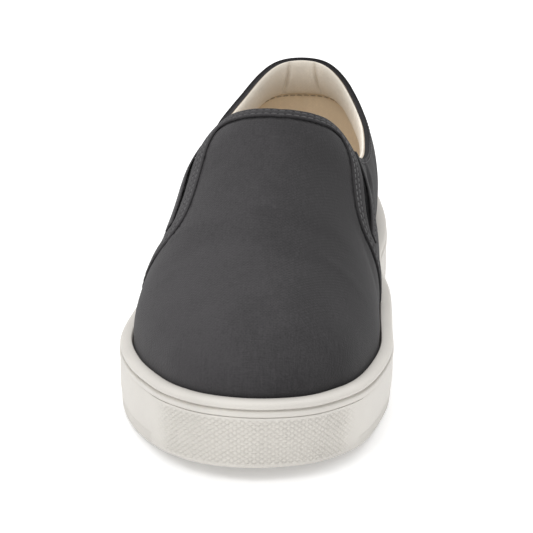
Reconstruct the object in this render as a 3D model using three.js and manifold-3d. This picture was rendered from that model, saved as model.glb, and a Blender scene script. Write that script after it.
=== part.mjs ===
// Low canvas slip-on sneaker, right foot, standing empty on its sole.
// Millimetres, +Z up, toe towards -Y, inner (medial) side towards +X.
// The origin is on the floor, under the middle of the shoe's length and width.
//
// Every surface of the upper comes from one function, last(rib, up). A rib starts on the feather
// line, where upper and sole meet, and arches inwards to the spine over the middle of the foot.
// rib: 0 at the toe, 1 at the heel, positive on the medial side and negative on the lateral side.
// up: 0 on the feather line, 1 on the spine, and beyond 1 the rib goes on down the other side.
import * as THREE from 'three';
import { mergeVertices } from 'three/addons/utils/BufferGeometryUtils.js';
import Module from 'manifold-3d';

// Driving dimensions
const LAST_LENGTH = 288;
const BALL_WIDTH = 98;
const HEEL_WIDTH = 70;
const INSTEP_HEIGHT = 99.8;
const COLLAR_HEIGHT = 80;
const TOE_SPRING = 6;
const ARCH_RISE = 1.5;
const UPPER_WALL = 2;
const SIDEWALL_HEIGHT = 27.9;
const SIDEWALL_THICKNESS = 5.5;
const CUP_FLOOR_HEIGHT = 13;
const OUTSOLE_THICKNESS = 5;
const INSOLE_THICKNESS = 4;
const INSOLE_DISH = 1;
const BUMPER_THICKNESS = 1.2;
const BUMPER_CHAMFER = 0.5;
const BAND_WIDTH = 8;
const STRIP_WIDTH = 5;
const OVERLAY_THICKNESS = 0.9;
const GORE_THICKNESS = 1.1;
const GORE_SUNK = 0.4;
const PAD_DEPTH = 17;
const PAD_THICKNESS = 5;
const PAD_EDGE = 0.8;
const TREAD_PITCH = 9.5;
const TREAD_GROOVE = 3;
const TREAD_DEPTH = 1.8;
const TREAD_BORDER = 10;
const CLEARANCE = 0.3;

// Feather line: half widths as shares of the ball width and the heel width, added together
const MEDIAL_EDGE = [
  { rib: 0.045, along: 0.983, ball: 0.166, heel: 0 },
  { rib: 0.09, along: 0.945, ball: 0.275, heel: 0 },
  { rib: 0.14, along: 0.9, ball: 0.35, heel: 0 },
  { rib: 0.2, along: 0.83, ball: 0.403, heel: 0 },
  { rib: 0.27, along: 0.747, ball: 0.433, heel: 0 },
  { rib: 0.36, along: 0.642, ball: 0.421, heel: 0 },
  { rib: 0.48, along: 0.52, ball: 0.3, heel: 0.14 },
  { rib: 0.6, along: 0.4, ball: 0.18, heel: 0.23 },
  { rib: 0.72, along: 0.278, ball: 0.08, heel: 0.39 },
  { rib: 0.82, along: 0.163, ball: 0, heel: 0.468 },
  { rib: 0.9, along: 0.055, ball: 0, heel: 0.37 },
  { rib: 0.95, along: 0.012, ball: 0, heel: 0.21 },
];
const LATERAL_EDGE = [
  { rib: 0.045, along: 0.986, ball: 0.186, heel: 0 },
  { rib: 0.09, along: 0.95, ball: 0.315, heel: 0 },
  { rib: 0.14, along: 0.905, ball: 0.402, heel: 0 },
  { rib: 0.2, along: 0.83, ball: 0.5, heel: 0 },
  { rib: 0.27, along: 0.736, ball: 0.56, heel: 0 },
  { rib: 0.36, along: 0.625, ball: 0.539, heel: 0 },
  { rib: 0.48, along: 0.503, ball: 0.38, heel: 0.13 },
  { rib: 0.6, along: 0.38, ball: 0.25, heel: 0.258 },
  { rib: 0.72, along: 0.267, ball: 0.1, heel: 0.41 },
  { rib: 0.82, along: 0.156, ball: 0, heel: 0.505 },
  { rib: 0.9, along: 0.055, ball: 0, heel: 0.38 },
  { rib: 0.95, along: 0.012, ball: 0, heel: 0.215 },
];
const TOE_TIP = { rib: 0, along: 1, ball: -0.01, heel: 0 };
const HEEL_TIP = { along: 0, ball: 0, heel: 0 };

// Spine over the middle of the foot: height above the floor as shares of instep and collar height.
// Behind the throat it is the crown of the last, where the shoe is open.
const SPINE = [
  { along: 0, instep: 0, collar: 1.24 },
  { along: 0.15, instep: 0, collar: 1.2 },
  { along: 0.25, instep: 0, collar: 1.13 },
  { along: 0.33, instep: 0.3, collar: 0.78 },
  { along: 0.4, instep: 0.985, collar: 0 },
  { along: 0.475, instep: 1, collar: 0 },
  { along: 0.56, instep: 0.885, collar: 0 },
  { along: 0.66, instep: 0.783, collar: 0 },
  { along: 0.76, instep: 0.676, collar: 0 },
  { along: 0.86, instep: 0.603, collar: 0 },
  { along: 1, instep: 0.5, collar: 0 },
];
// How far the ribs of toe and heel stop short of the ends, and the spine's lean to the outline's middle
const SPINE_PULL = 0.28;
const SPINE_LEAN = 0.4;

// Section of each rib: exponent of its rounded arch, and how far it swells past the feather line
const SECTION = [
  { rib: 0, fullness: 2.5, swell: 1 },
  { rib: 0.1, fullness: 2.45, swell: 1 },
  { rib: 0.2, fullness: 2.12, swell: 0.6 },
  { rib: 0.35, fullness: 2, swell: 1 },
  { rib: 0.5, fullness: 2.07, swell: 2.9 },
  { rib: 0.62, fullness: 2.06, swell: 3.7 },
  { rib: 0.8, fullness: 2.05, swell: 3.8 },
  { rib: 0.9, fullness: 2.2, swell: 2.5 },
  { rib: 1, fullness: 3.2, swell: 2 },
];

// Top edge of the upper: the throat from the spine down to the gore, then the collar to the heel,
// a little lower on the lateral side, under the ankle bone
const TOP_EDGE = [
  { rib: 0.512, medial: 1, lateral: 1 },
  { rib: 0.518, medial: 0.875, lateral: 0.875 },
  { rib: 0.534, medial: 0.742, lateral: 0.742 },
  { rib: 0.558, medial: 0.625, lateral: 0.625 },
  { rib: 0.58, medial: 0.54, lateral: 0.54 },
  { rib: 0.6, medial: 0.45, lateral: 0.45 },
  { rib: 0.66, medial: 0.405, lateral: 0.378 },
  { rib: 0.75, medial: 0.396, lateral: 0.365 },
  { rib: 0.83, medial: 0.398, lateral: 0.377 },
  { rib: 0.88, medial: 0.421, lateral: 0.409 },
  { rib: 0.94, medial: 0.474, lateral: 0.47 },
  { rib: 1, medial: 0.465, lateral: 0.465 },
];

// Band that edges the vamp, from the spine (place 0) down either side to the feather line: its guide line,
// and how far its front and rear edges lie from that line, as shares of the band's width
const BAND_PATH = {
  medial: [
    { place: 0, rib: 0.498, up: 1, front: 0.12, rear: 0.5 },
    { place: 0.1, rib: 0.504, up: 0.875, front: 0.16, rear: 0.5 },
    { place: 0.2, rib: 0.518, up: 0.76, front: 0.26, rear: 0.5 },
    { place: 0.3, rib: 0.537, up: 0.665, front: 0.4, rear: 0.5 },
    { place: 0.4, rib: 0.545, up: 0.59, front: 0.5, rear: 0.48 },
    { place: 0.5, rib: 0.532, up: 0.53, front: 0.5, rear: 0.44 },
    { place: 0.58, rib: 0.505, up: 0.49, front: 0.5, rear: 0.42 },
    { place: 0.66, rib: 0.465, up: 0.465, front: 0.5, rear: 0.42 },
    { place: 0.74, rib: 0.428, up: 0.425, front: 0.5, rear: 0.42 },
    { place: 0.82, rib: 0.405, up: 0.36, front: 0.5, rear: 0.44 },
    { place: 0.88, rib: 0.404, up: 0.29, front: 0.5, rear: 0.5 },
    { place: 0.94, rib: 0.408, up: 0.17, front: 0.5, rear: 0.5 },
    { place: 1, rib: 0.411, up: 0.02, front: 0.5, rear: 0.5 },
  ],
  lateral: [
    { place: 0, rib: 0.498, up: 1, front: 0.12, rear: 0.5 },
    { place: 0.1, rib: 0.504, up: 0.88, front: 0.16, rear: 0.5 },
    { place: 0.2, rib: 0.517, up: 0.77, front: 0.26, rear: 0.5 },
    { place: 0.3, rib: 0.535, up: 0.68, front: 0.4, rear: 0.5 },
    { place: 0.4, rib: 0.54, up: 0.615, front: 0.5, rear: 0.48 },
    { place: 0.5, rib: 0.525, up: 0.56, front: 0.5, rear: 0.44 },
    { place: 0.58, rib: 0.495, up: 0.525, front: 0.5, rear: 0.42 },
    { place: 0.66, rib: 0.45, up: 0.508, front: 0.5, rear: 0.42 },
    { place: 0.74, rib: 0.4, up: 0.502, front: 0.5, rear: 0.42 },
    { place: 0.8, rib: 0.366, up: 0.485, front: 0.5, rear: 0.42 },
    { place: 0.86, rib: 0.345, up: 0.43, front: 0.5, rear: 0.46 },
    { place: 0.9, rib: 0.341, up: 0.35, front: 0.5, rear: 0.5 },
    { place: 0.95, rib: 0.345, up: 0.2, front: 0.5, rear: 0.5 },
    { place: 1, rib: 0.35, up: 0.02, front: 0.5, rear: 0.5 },
  ],
};

// Elastic gore behind that band: its front and rear edges from the top edge (place 0) downwards
const GORE = {
  medial: [
    { place: 0, frontRib: 0.56, frontUp: 0.6, rearRib: 0.594, rearUp: 0.468 },
    { place: 0.2, frontRib: 0.545, frontUp: 0.538, rearRib: 0.574, rearUp: 0.435 },
    { place: 0.4, frontRib: 0.512, frontUp: 0.471, rearRib: 0.543, rearUp: 0.4 },
    { place: 0.6, frontRib: 0.47, frontUp: 0.433, rearRib: 0.5, rearUp: 0.368 },
    { place: 0.8, frontRib: 0.435, frontUp: 0.392, rearRib: 0.456, rearUp: 0.337 },
    { place: 1, frontRib: 0.414, frontUp: 0.35, rearRib: 0.424, rearUp: 0.316 },
  ],
  lateral: [
    { place: 0, frontRib: 0.558, frontUp: 0.612, rearRib: 0.594, rearUp: 0.47 },
    { place: 0.2, frontRib: 0.538, frontUp: 0.556, rearRib: 0.572, rearUp: 0.45 },
    { place: 0.4, frontRib: 0.502, frontUp: 0.499, rearRib: 0.535, rearUp: 0.427 },
    { place: 0.6, frontRib: 0.452, frontUp: 0.476, rearRib: 0.483, rearUp: 0.413 },
    { place: 0.8, frontRib: 0.403, frontUp: 0.47, rearRib: 0.431, rearUp: 0.411 },
    { place: 1, frontRib: 0.368, frontUp: 0.455, rearRib: 0.38, rearUp: 0.42 },
  ],
};
const SIDES = { medial: 1, lateral: -1 };

// Outside of the sole's wall, from the outsole up to the lip: shares of the wall's height and thickness
const SIDEWALL = [
  { level: 0.195, out: 0.9 },
  { level: 0.3, out: 0.97 },
  { level: 0.5, out: 1 },
  { level: 0.765, out: 0.97 },
  { level: 0.783, out: 1.03 },
  { level: 0.83, out: 1.03 },
  { level: 0.848, out: 0.95 },
  { level: 0.862, out: 0.84 },
  { level: 0.876, out: 0.84 },
  { level: 0.888, out: 0.95 },
  { level: 0.93, out: 0.97 },
  { level: 0.968, out: 0.84 },
  { level: 0.99, out: 0.5 },
];
const OUTSOLE_EDGE = [
  { height: 0, out: 0.7 },
  { height: 0.16, out: 0.86 },
  { height: 1, out: 0.9 },
];
// Toe bumper: levels of its rows, level where the wall's recess for it ends, and the rib that it reaches
const BUMPER_LEVELS = [0.03, 0.1, 0.3, 0.5, 0.75];
const RECESS_TOP = 0.77;
const BUMPER_RIB = 0.135;
const PAD_START = 0.622;
const SPRING_START = 0.66;
const ARCH_START = 0.3;
const ARCH_END = 0.52;
const HEEL_TREAD = { from: 0.07, to: 0.28 };
const FOREFOOT_TREAD = { from: 0.54, to: 0.93 };

// Smooth curve through the rows of a table: value of one column where another column reads x
function through(table, key, column, x) {
  const end = table.length - 1;
  const clamped = THREE.MathUtils.clamp(x, table[0][key], table[end][key]);
  let i = 0;
  while (i < end - 1 && table[i + 1][key] < clamped) i += 1;
  const slope = (k) => {
    const a = table[Math.max(k - 1, 0)];
    const b = table[Math.min(k + 1, end)];
    return (b[column] - a[column]) / (b[key] - a[key]);
  };
  const span = table[i + 1][key] - table[i][key];
  const t = (clamped - table[i][key]) / span;
  const rise = table[i + 1][column] - table[i][column];
  const first = slope(i) * span;
  const second = slope(i + 1) * span;
  const bend = 3 * rise - 2 * first - second;
  return table[i][column] + t * (first + t * (bend + t * (first + second - 2 * rise)));
}

// Rib shares run on past the heel as round a ring, from -1 to 1
const wrap = (rib) => rib - 2 * Math.round(rib / 2);

function halfWidth(row) {
  return row.ball * BALL_WIDTH + row.heel * HEEL_WIDTH;
}

// The feather line as one closed table, lateral heel to toe to medial heel and a little past both ends
function featherTable() {
  const side = (edge, sign) => edge.map((row) => (
    { rib: sign * row.rib, along: row.along, across: sign * halfWidth(row) }));
  const lateral = side(LATERAL_EDGE, -1).reverse();
  const medial = side(MEDIAL_EDGE, 1);
  const tip = { rib: TOE_TIP.rib, along: TOE_TIP.along, across: halfWidth(TOE_TIP) };
  const heel = (rib) => ({ rib, along: HEEL_TIP.along, across: halfWidth(HEEL_TIP) });
  const past = medial.at(-1);
  const before = lateral[0];
  const start = { ...past, rib: past.rib - 2 };
  const finish = { ...before, rib: before.rib + 2 };
  return [start, heel(-1), ...lateral, tip, ...medial, heel(1), finish];
}
const FEATHER = featherTable();

function feather(rib) {
  const r = wrap(rib);
  return { across: through(FEATHER, 'rib', 'across', r), along: through(FEATHER, 'rib', 'along', r) };
}

// Middle of the ball's width stands over the origin
const widest = (sign) => Math.max(...FEATHER.map((row) => sign * row.across));
const CENTRE_SHIFT = (widest(-1) - widest(1)) / 2;
const plan = (across, along) => new THREE.Vector2(across + CENTRE_SHIFT, (0.5 - along) * LAST_LENGTH);

// Step in rib and up over which the surface's directions are taken, and the level that stands for the spine
const STEP = 0.004;
const NEAR_SPINE = 0.985;

// Feather line moved outwards in plan, for the walls of the sole and the edge of the insole
function outline(rib, outwards) {
  const at = (r) => {
    const f = feather(r);
    return plan(f.across, f.along);
  };
  const tangent = at(rib + STEP).sub(at(rib - STEP)).normalize();
  return at(rib).add(new THREE.Vector2(tangent.y, -tangent.x).multiplyScalar(outwards));
}

const toeRise = (along) => TOE_SPRING * Math.max(0, (along - SPRING_START) / (1 - SPRING_START)) ** 2;

// Underside of the sole above the floor: toe spring and arch
function rise(along) {
  const arch = THREE.MathUtils.clamp((along - ARCH_START) / (ARCH_END - ARCH_START), 0, 1);
  return toeRise(along) + ARCH_RISE * Math.sin(Math.PI * arch) ** 2;
}

function last(ribShare, upShare) {
  const across = upShare > 1;
  const rib = wrap(across ? -ribShare : ribShare);
  const up = across ? 2 - upShare : upShare;
  const side = Math.abs(rib);
  const foot = feather(rib);
  const other = feather(-rib);
  const reach = foot.along + other.along - 1;
  const top = {
    across: SPINE_LEAN * (foot.across + other.across) / 2,
    along: 0.5 + 0.5 * reach * (1 - SPINE_PULL * reach * reach),
  };
  const exponent = 2 / through(SECTION, 'rib', 'fullness', side);
  const angle = up * Math.PI / 2;
  const high = up >= 1 ? 1 : Math.sin(angle) ** exponent;
  const length = Math.hypot(top.across - foot.across, (top.along - foot.along) * LAST_LENGTH);
  const swell = through(SECTION, 'rib', 'swell', side) / length * Math.sin(Math.PI * high);
  const inwards = up >= 1 ? 1 : 1 - Math.cos(angle) ** exponent - swell;
  const along = THREE.MathUtils.lerp(foot.along, top.along, inwards);
  const p = plan(THREE.MathUtils.lerp(foot.across, top.across, inwards), along);
  const base = SIDEWALL_HEIGHT + toeRise(foot.along);
  const instep = through(SPINE, 'along', 'instep', along) * INSTEP_HEIGHT;
  const crown = instep + through(SPINE, 'along', 'collar', along) * COLLAR_HEIGHT;
  return new THREE.Vector3(p.x, p.y, base + (crown - base) * high);
}

// Outward normal of the upper's surface
function normalAt(rib, up) {
  const level = THREE.MathUtils.clamp(up, STEP, NEAR_SPINE);
  const sideways = last(rib + STEP, level).sub(last(rib - STEP, level));
  const upwards = last(rib, level + STEP).sub(last(rib, level - STEP));
  return sideways.cross(upwards).normalize();
}

// Point at a depth off the surface, outwards positive
function offSurface(ribShare, upShare, outwards) {
  const over = upShare > 1;
  const rib = over ? -ribShare : ribShare;
  const up = over ? 2 - upShare : upShare;
  const normal = normalAt(rib, up);
  const spineZone = 0.94;
  if (up > spineZone) {
    const other = normalAt(-rib, up);
    const blend = (up - spineZone) / (1 - spineZone) / 2;
    normal.lerp(other, blend).normalize();
  }
  return last(rib, up).addScaledVector(normal, outwards);
}

// Closed body from triangles given as corner points; triangles that close to a line are dropped
class Skin {
  constructor() {
    this.corners = [];
  }

  triangle(a, b, c) {
    const area = new THREE.Vector3().subVectors(b, a).cross(new THREE.Vector3().subVectors(c, a)).length();
    const smallest = 1e-7;
    if (area < smallest) return;
    for (const p of [a, b, c]) this.corners.push(p.x, p.y, p.z);
  }

  quad(a, b, c, d) {
    this.triangle(a, b, c);
    this.triangle(a, c, d);
  }

  // Quads between two rows of points that run side by side
  strip(lower, upper) {
    for (let i = 0; i < lower.length - 1; i += 1) this.quad(lower[i], lower[i + 1], upper[i + 1], upper[i]);
  }

  geometry() {
    const loose = new THREE.BufferGeometry();
    loose.setAttribute('position', new THREE.Float32BufferAttribute(this.corners, 3));
    const merged = mergeVertices(loose, 1e-4);
    merged.computeVertexNormals();
    return merged;
  }
}

function range(from, to, steps) {
  return Array.from({ length: steps + 1 }, (_, i) => from + (to - from) * i / steps);
}

// Rib shares of one side, shared by upper and sole so that their facets run side by side:
// round the toe, past the bumper's end with a small step, up to the throat, the gore and the heel
const throatRib = TOP_EDGE[0].rib;
const goreRib = 0.6;
const stepRib = BUMPER_RIB + 1.4 * CLEARANCE / LAST_LENGTH;
const wallRib = BUMPER_RIB + 3 * CLEARANCE / LAST_LENGTH;
const FACETS = { bumper: 8, vamp: 11, throat: 6, quarter: 13, up: 12, pad: 6, gore: 8, band: 30, strip: 12 };
const SIDE_RIBS = [
  ...range(0, BUMPER_RIB, FACETS.bumper),
  stepRib,
  ...range(wallRib, throatRib, FACETS.vamp),
  ...range(throatRib, goreRib, FACETS.throat).slice(1),
  ...range(goreRib, 1, FACETS.quarter).slice(1),
];
const bothSides = (half) => [...half.slice(1).reverse().map((r) => -r), ...half];
const RING = bothSides(SIDE_RIBS);

// Solid between rings: each ring has the same shares, the first and last are closed by lids
function ringSolid(rings) {
  const skin = new Skin();
  for (let k = 0; k < rings.length - 1; k += 1) skin.strip(rings[k], rings[k + 1]);
  const lid = (ring, up) => {
    const n = ring.length - 1;
    for (let i = 0; i < n / 2; i += 1) {
      const corners = [ring[i], ring[i + 1], ring[n - i - 1], ring[n - i]];
      if (up) skin.quad(...corners);
      else skin.quad(...corners.reverse());
    }
  };
  lid(rings[0], false);
  lid(rings.at(-1), true);
  return skin.geometry();
}

// One ring at a distance outside the feather line and a height above the sole's rise
function ring(outwards, height, riseOf, ribs = RING) {
  return ribs.map((rib) => {
    const out = typeof outwards === 'function' ? outwards(rib) : outwards;
    const p = outline(rib, out);
    return new THREE.Vector3(p.x, p.y, height + riseOf(feather(rib).along));
  });
}

const recess = (rib) => (Math.abs(rib) <= stepRib ? BUMPER_THICKNESS + CLEARANCE : 0);
const wallOut = (level) => through(SIDEWALL, 'level', 'out', level) * SIDEWALL_THICKNESS;

async function toolkit() {
  const wasm = await Module();
  wasm.setup();
  return wasm;
}
const wasm = await toolkit();

function solid(geometry) {
  const bare = geometry.clone();
  bare.deleteAttribute('normal');
  const merged = mergeVertices(bare, 1e-4);
  return new wasm.Manifold(new wasm.Mesh({
    numProp: 3,
    vertProperties: new Float32Array(merged.attributes.position.array),
    triVerts: new Uint32Array(merged.index.array),
  }));
}

function fromSolid(body) {
  const mesh = body.getMesh();
  const geometry = new THREE.BufferGeometry();
  geometry.setAttribute('position', new THREE.Float32BufferAttribute(mesh.vertProperties, 3));
  geometry.setIndex(Array.from(mesh.triVerts));
  geometry.computeVertexNormals();
  return geometry;
}

// Outsole: a slab with toe spring and arch, and straight tread grooves under heel and forefoot
function outsole() {
  const side = (share) => (rib) => share * SIDEWALL_THICKNESS - recess(rib);
  const slab = solid(ringSolid(OUTSOLE_EDGE.map(({ height, out }) => (
    ring(side(out), height * OUTSOLE_THICKNESS, rise)))));
  const edges = RING.map((rib) => outline(rib, 0));
  const heel = LAST_LENGTH / 2;
  let body = slab;
  for (const field of [HEEL_TREAD, FOREFOOT_TREAD]) {
    const count = Math.floor((field.to - field.from) * LAST_LENGTH / TREAD_PITCH);
    for (let i = 0; i <= count; i += 1) {
      const y = heel - field.from * LAST_LENGTH - i * TREAD_PITCH;
      const near = edges.filter((p) => Math.abs(p.y - y) < TREAD_PITCH);
      const low = Math.min(...near.map((p) => p.x)) + TREAD_BORDER;
      const high = Math.max(...near.map((p) => p.x)) - TREAD_BORDER;
      if (high - low < TREAD_BORDER) continue;
      const depth = TREAD_DEPTH + rise((heel - y) / LAST_LENGTH);
      const below = 1;
      const groove = new THREE.BoxGeometry(high - low, TREAD_GROOVE, depth + below);
      groove.deleteAttribute('uv');
      groove.translate((low + high) / 2, y, (depth - below) / 2);
      body = body.subtract(solid(groove));
    }
  }
  return fromSolid(body);
}

// Cup: the sole's side wall with its lip, groove and rib, and the floor that carries the insole
function cupSole() {
  const wall = SIDEWALL.map(({ level, out }) => {
    const outwards = (rib) => out * SIDEWALL_THICKNESS - (level < RECESS_TOP ? recess(rib) : 0);
    return ring(outwards, level * SIDEWALL_HEIGHT, toeRise);
  });
  const foot = (rib) => SIDEWALL[0].out * SIDEWALL_THICKNESS - recess(rib);
  const under = ring(foot, OUTSOLE_THICKNESS + CLEARANCE, rise);
  const lipTop = ring(CLEARANCE, SIDEWALL_HEIGHT - CLEARANCE, toeRise);
  const floor = ring(CLEARANCE, CUP_FLOOR_HEIGHT, toeRise);
  return ringSolid([under, ...wall.slice(1), lipTop, floor]);
}

// Toe bumper: a strip let into the wall round the toe
function toeBumper() {
  const ribs = RING.filter((rib) => Math.abs(rib) <= BUMPER_RIB);
  const row = (level, sunk) => ring(wallOut(level) - sunk, level * SIDEWALL_HEIGHT, toeRise, ribs);
  const front = BUMPER_LEVELS.map((level, k) => row(level, k === 0 ? BUMPER_CHAMFER : 0));
  const back = BUMPER_LEVELS.map((level) => row(level, BUMPER_THICKNESS));
  const skin = new Skin();
  const bands = BUMPER_LEVELS.length - 1;
  for (let k = 0; k < bands; k += 1) {
    skin.strip(front[k], front[k + 1]);
    skin.strip(back[k + 1], back[k]);
  }
  skin.strip(back[0], front[0]);
  skin.strip(front.at(-1), back.at(-1));
  const end = (i) => front.map((row, k) => [row[i], back[k][i]]);
  const left = end(0);
  const right = end(ribs.length - 1);
  for (let k = 0; k < bands; k += 1) {
    skin.quad(left[k][1], left[k][0], left[k + 1][0], left[k + 1][1]);
    skin.quad(right[k][0], right[k][1], right[k + 1][1], right[k + 1][0]);
  }
  return skin.geometry();
}

// Footbed, dished towards its middle
function insole() {
  const inset = -(UPPER_WALL + CLEARANCE);
  const rimWidth = 7;
  const bottom = CUP_FLOOR_HEIGHT + CLEARANCE;
  return ringSolid([
    ring(inset, bottom, toeRise),
    ring(inset, bottom + INSOLE_THICKNESS, toeRise),
    ring(inset - rimWidth, bottom + INSOLE_THICKNESS - INSOLE_DISH, toeRise),
  ]);
}

function topEdge(rib) {
  const side = rib < 0 ? 'lateral' : 'medial';
  return Math.abs(rib) <= throatRib ? 1 : through(TOP_EDGE, 'rib', side, Math.abs(rib));
}

// Hollow upper: outer and inner skins over all ribs, joined under the foot edge and round the top edge
function upperShell() {
  const ribs = RING.filter((rib) => Math.abs(rib) !== stepRib);
  const rows = range(0, 1, FACETS.up);
  const skirtHeight = CUP_FLOOR_HEIGHT + CLEARANCE;
  const column = (rib, outwards) => {
    const p = outline(rib, outwards);
    const skirt = new THREE.Vector3(p.x, p.y, skirtHeight + toeRise(feather(rib).along));
    const foot = new THREE.Vector3(p.x, p.y, SIDEWALL_HEIGHT + toeRise(feather(rib).along));
    return [skirt, foot, ...rows.slice(1).map((v) => offSurface(rib, v * topEdge(rib), outwards))];
  };
  const outer = ribs.map((rib) => column(rib, 0));
  const inner = ribs.map((rib) => column(rib, -UPPER_WALL));
  const skin = new Skin();
  for (let i = 0; i < ribs.length - 1; i += 1) {
    skin.strip(outer[i + 1], outer[i]);
    skin.strip(inner[i], inner[i + 1]);
    skin.quad(outer[i][0], inner[i][0], inner[i + 1][0], outer[i + 1][0]);
    const open = Math.max(Math.abs(ribs[i]), Math.abs(ribs[i + 1])) > throatRib;
    if (open) skin.quad(outer[i].at(-1), outer[i + 1].at(-1), inner[i + 1].at(-1), inner[i].at(-1));
  }
  return skin.geometry();
}

// Block between two depths over a patch of the upper given by its edges from bottom to top
function patch(columns, inner, outer) {
  const point = (depth) => columns.map((col) => col.map(([rib, up]) => offSurface(rib, up, depth)));
  const out = point(outer);
  const back = point(inner);
  const skin = new Skin();
  const n = columns.length - 1;
  const m = columns[0].length - 1;
  for (let i = 0; i < n; i += 1) {
    skin.strip(out[i + 1], out[i]);
    skin.strip(back[i], back[i + 1]);
    skin.quad(out[i][0], back[i][0], back[i + 1][0], out[i + 1][0]);
    skin.quad(out[i][m], out[i + 1][m], back[i + 1][m], back[i][m]);
  }
  skin.strip(out[0], back[0]);
  skin.strip(back[n], out[n]);
  return skin.geometry();
}

// Facets across a gore, a band and a strip
const ACROSS = 3;

// Gore panel between its front and rear edges, from one place to another, inset by a share of its width
function gorePatch(name, inset, from, to, inner, outer) {
  const sign = SIDES[name];
  const edge = (place) => {
    const held = Math.max(place, 0);
    const ahead = held + STEP;
    const row = (column) => {
      const value = through(GORE[name], 'place', column, held);
      return value + (held - place) * (value - through(GORE[name], 'place', column, ahead)) / STEP;
    };
    return { front: [row('frontRib'), row('frontUp')], rear: [row('rearRib'), row('rearUp')] };
  };
  const places = range(to, from, FACETS.gore).map(edge);
  const steps = range(inset, 1 - inset, ACROSS);
  if (sign < 0) steps.reverse();
  const mix = (a, b, t) => THREE.MathUtils.lerp(a, b, t);
  const columns = steps.map((t) => places.map(({ front, rear }) => (
    [sign * mix(front[0], rear[0], t), mix(front[1], rear[1], t)])));
  return patch(columns, inner, outer);
}

function upper() {
  let body = solid(upperShell());
  const past = 1.5;
  const abovePlace = -0.3;
  for (const name of Object.keys(SIDES)) {
    body = body.subtract(solid(gorePatch(name, 0, abovePlace, 1, -UPPER_WALL - past, past)));
  }
  return fromSolid(body);
}

function gore(name) {
  const inset = 0.07;
  const top = 0.02;
  const bottom = 0.97;
  return gorePatch(name, inset, top, bottom, -GORE_SUNK - GORE_THICKNESS, -GORE_SUNK);
}

// Flat strip laid on the upper along a path of places, each with its rib and up and with the distances
// of the strip's two edges from it; the surface's own two directions turn a distance into rib and up
function strip(path, lift, thickness) {
  const end = path.length - 1;
  const sections = path.map(({ rib, up, near, far }, i) => {
    const before = path[Math.max(i - 1, 0)];
    const after = path[Math.min(i + 1, end)];
    const perRib = last(rib + STEP, up).sub(last(rib - STEP, up)).divideScalar(2 * STEP);
    const perUp = last(rib, up + STEP).sub(last(rib, up - STEP)).divideScalar(2 * STEP);
    const ahead = perRib.clone().multiplyScalar(after.rib - before.rib);
    ahead.addScaledVector(perUp, after.up - before.up).normalize();
    const sideways = perRib.clone().cross(perUp).normalize().cross(ahead);
    const e = perRib.dot(perRib);
    const f = perRib.dot(perUp);
    const g = perUp.dot(perUp);
    const det = e * g - f * f;
    const a = sideways.dot(perRib);
    const b = sideways.dot(perUp);
    const shift = { rib: (a * g - b * f) / det, up: (b * e - a * f) / det };
    const place = (t, depth) => offSurface(rib + shift.rib * t, up + shift.up * t, depth);
    const across = range(near, far, ACROSS);
    const over = across.map((t) => place(t, lift + thickness)).reverse();
    return [...across.map((t) => place(t, lift)), ...over];
  });
  const skin = new Skin();
  for (let i = 0; i < sections.length - 1; i += 1) {
    const a = sections[i];
    const b = sections[i + 1];
    for (let k = 0; k < a.length; k += 1) {
      const next = (k + 1) % a.length;
      skin.quad(a[k], a[next], b[next], b[k]);
    }
  }
  const cap = (s, turn) => {
    const m = s.length;
    for (let k = 0; k < m / 2 - 1; k += 1) {
      const corners = [s[k], s[k + 1], s[m - 2 - k], s[m - 1 - k]];
      if (turn) corners.reverse();
      skin.quad(...corners);
    }
  };
  cap(sections[0], true);
  cap(sections.at(-1), false);
  return skin.geometry();
}

// Band along the vamp's edge, over the instep from one feather line to the other
function vampBand() {
  const places = range(0, 1, FACETS.band);
  const down = (name) => places.map((place) => {
    const read = (column) => through(BAND_PATH[name], 'place', column, place);
    const edges = { near: -read('rear') * BAND_WIDTH, far: read('front') * BAND_WIDTH };
    return { rib: read('rib'), up: read('up'), ...edges };
  });
  const medial = down('medial').reverse();
  const lateral = down('lateral').slice(1).map((row) => ({ ...row, up: 2 - row.up }));
  return strip([...medial, ...lateral], CLEARANCE, OVERLAY_THICKNESS);
}

// Folded front edge of the quarter, behind the gore
function quarterStrip(name) {
  const sign = SIDES[name];
  const top = 0.06;
  const path = range(top, 1, FACETS.strip).map((place) => ({
    rib: sign * through(GORE[name], 'place', 'rearRib', place),
    up: through(GORE[name], 'place', 'rearUp', place),
    near: CLEARANCE,
    far: CLEARANCE + STRIP_WIDTH,
  }));
  if (sign < 0) path.reverse();
  return strip(path, CLEARANCE, OVERLAY_THICKNESS);
}

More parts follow.
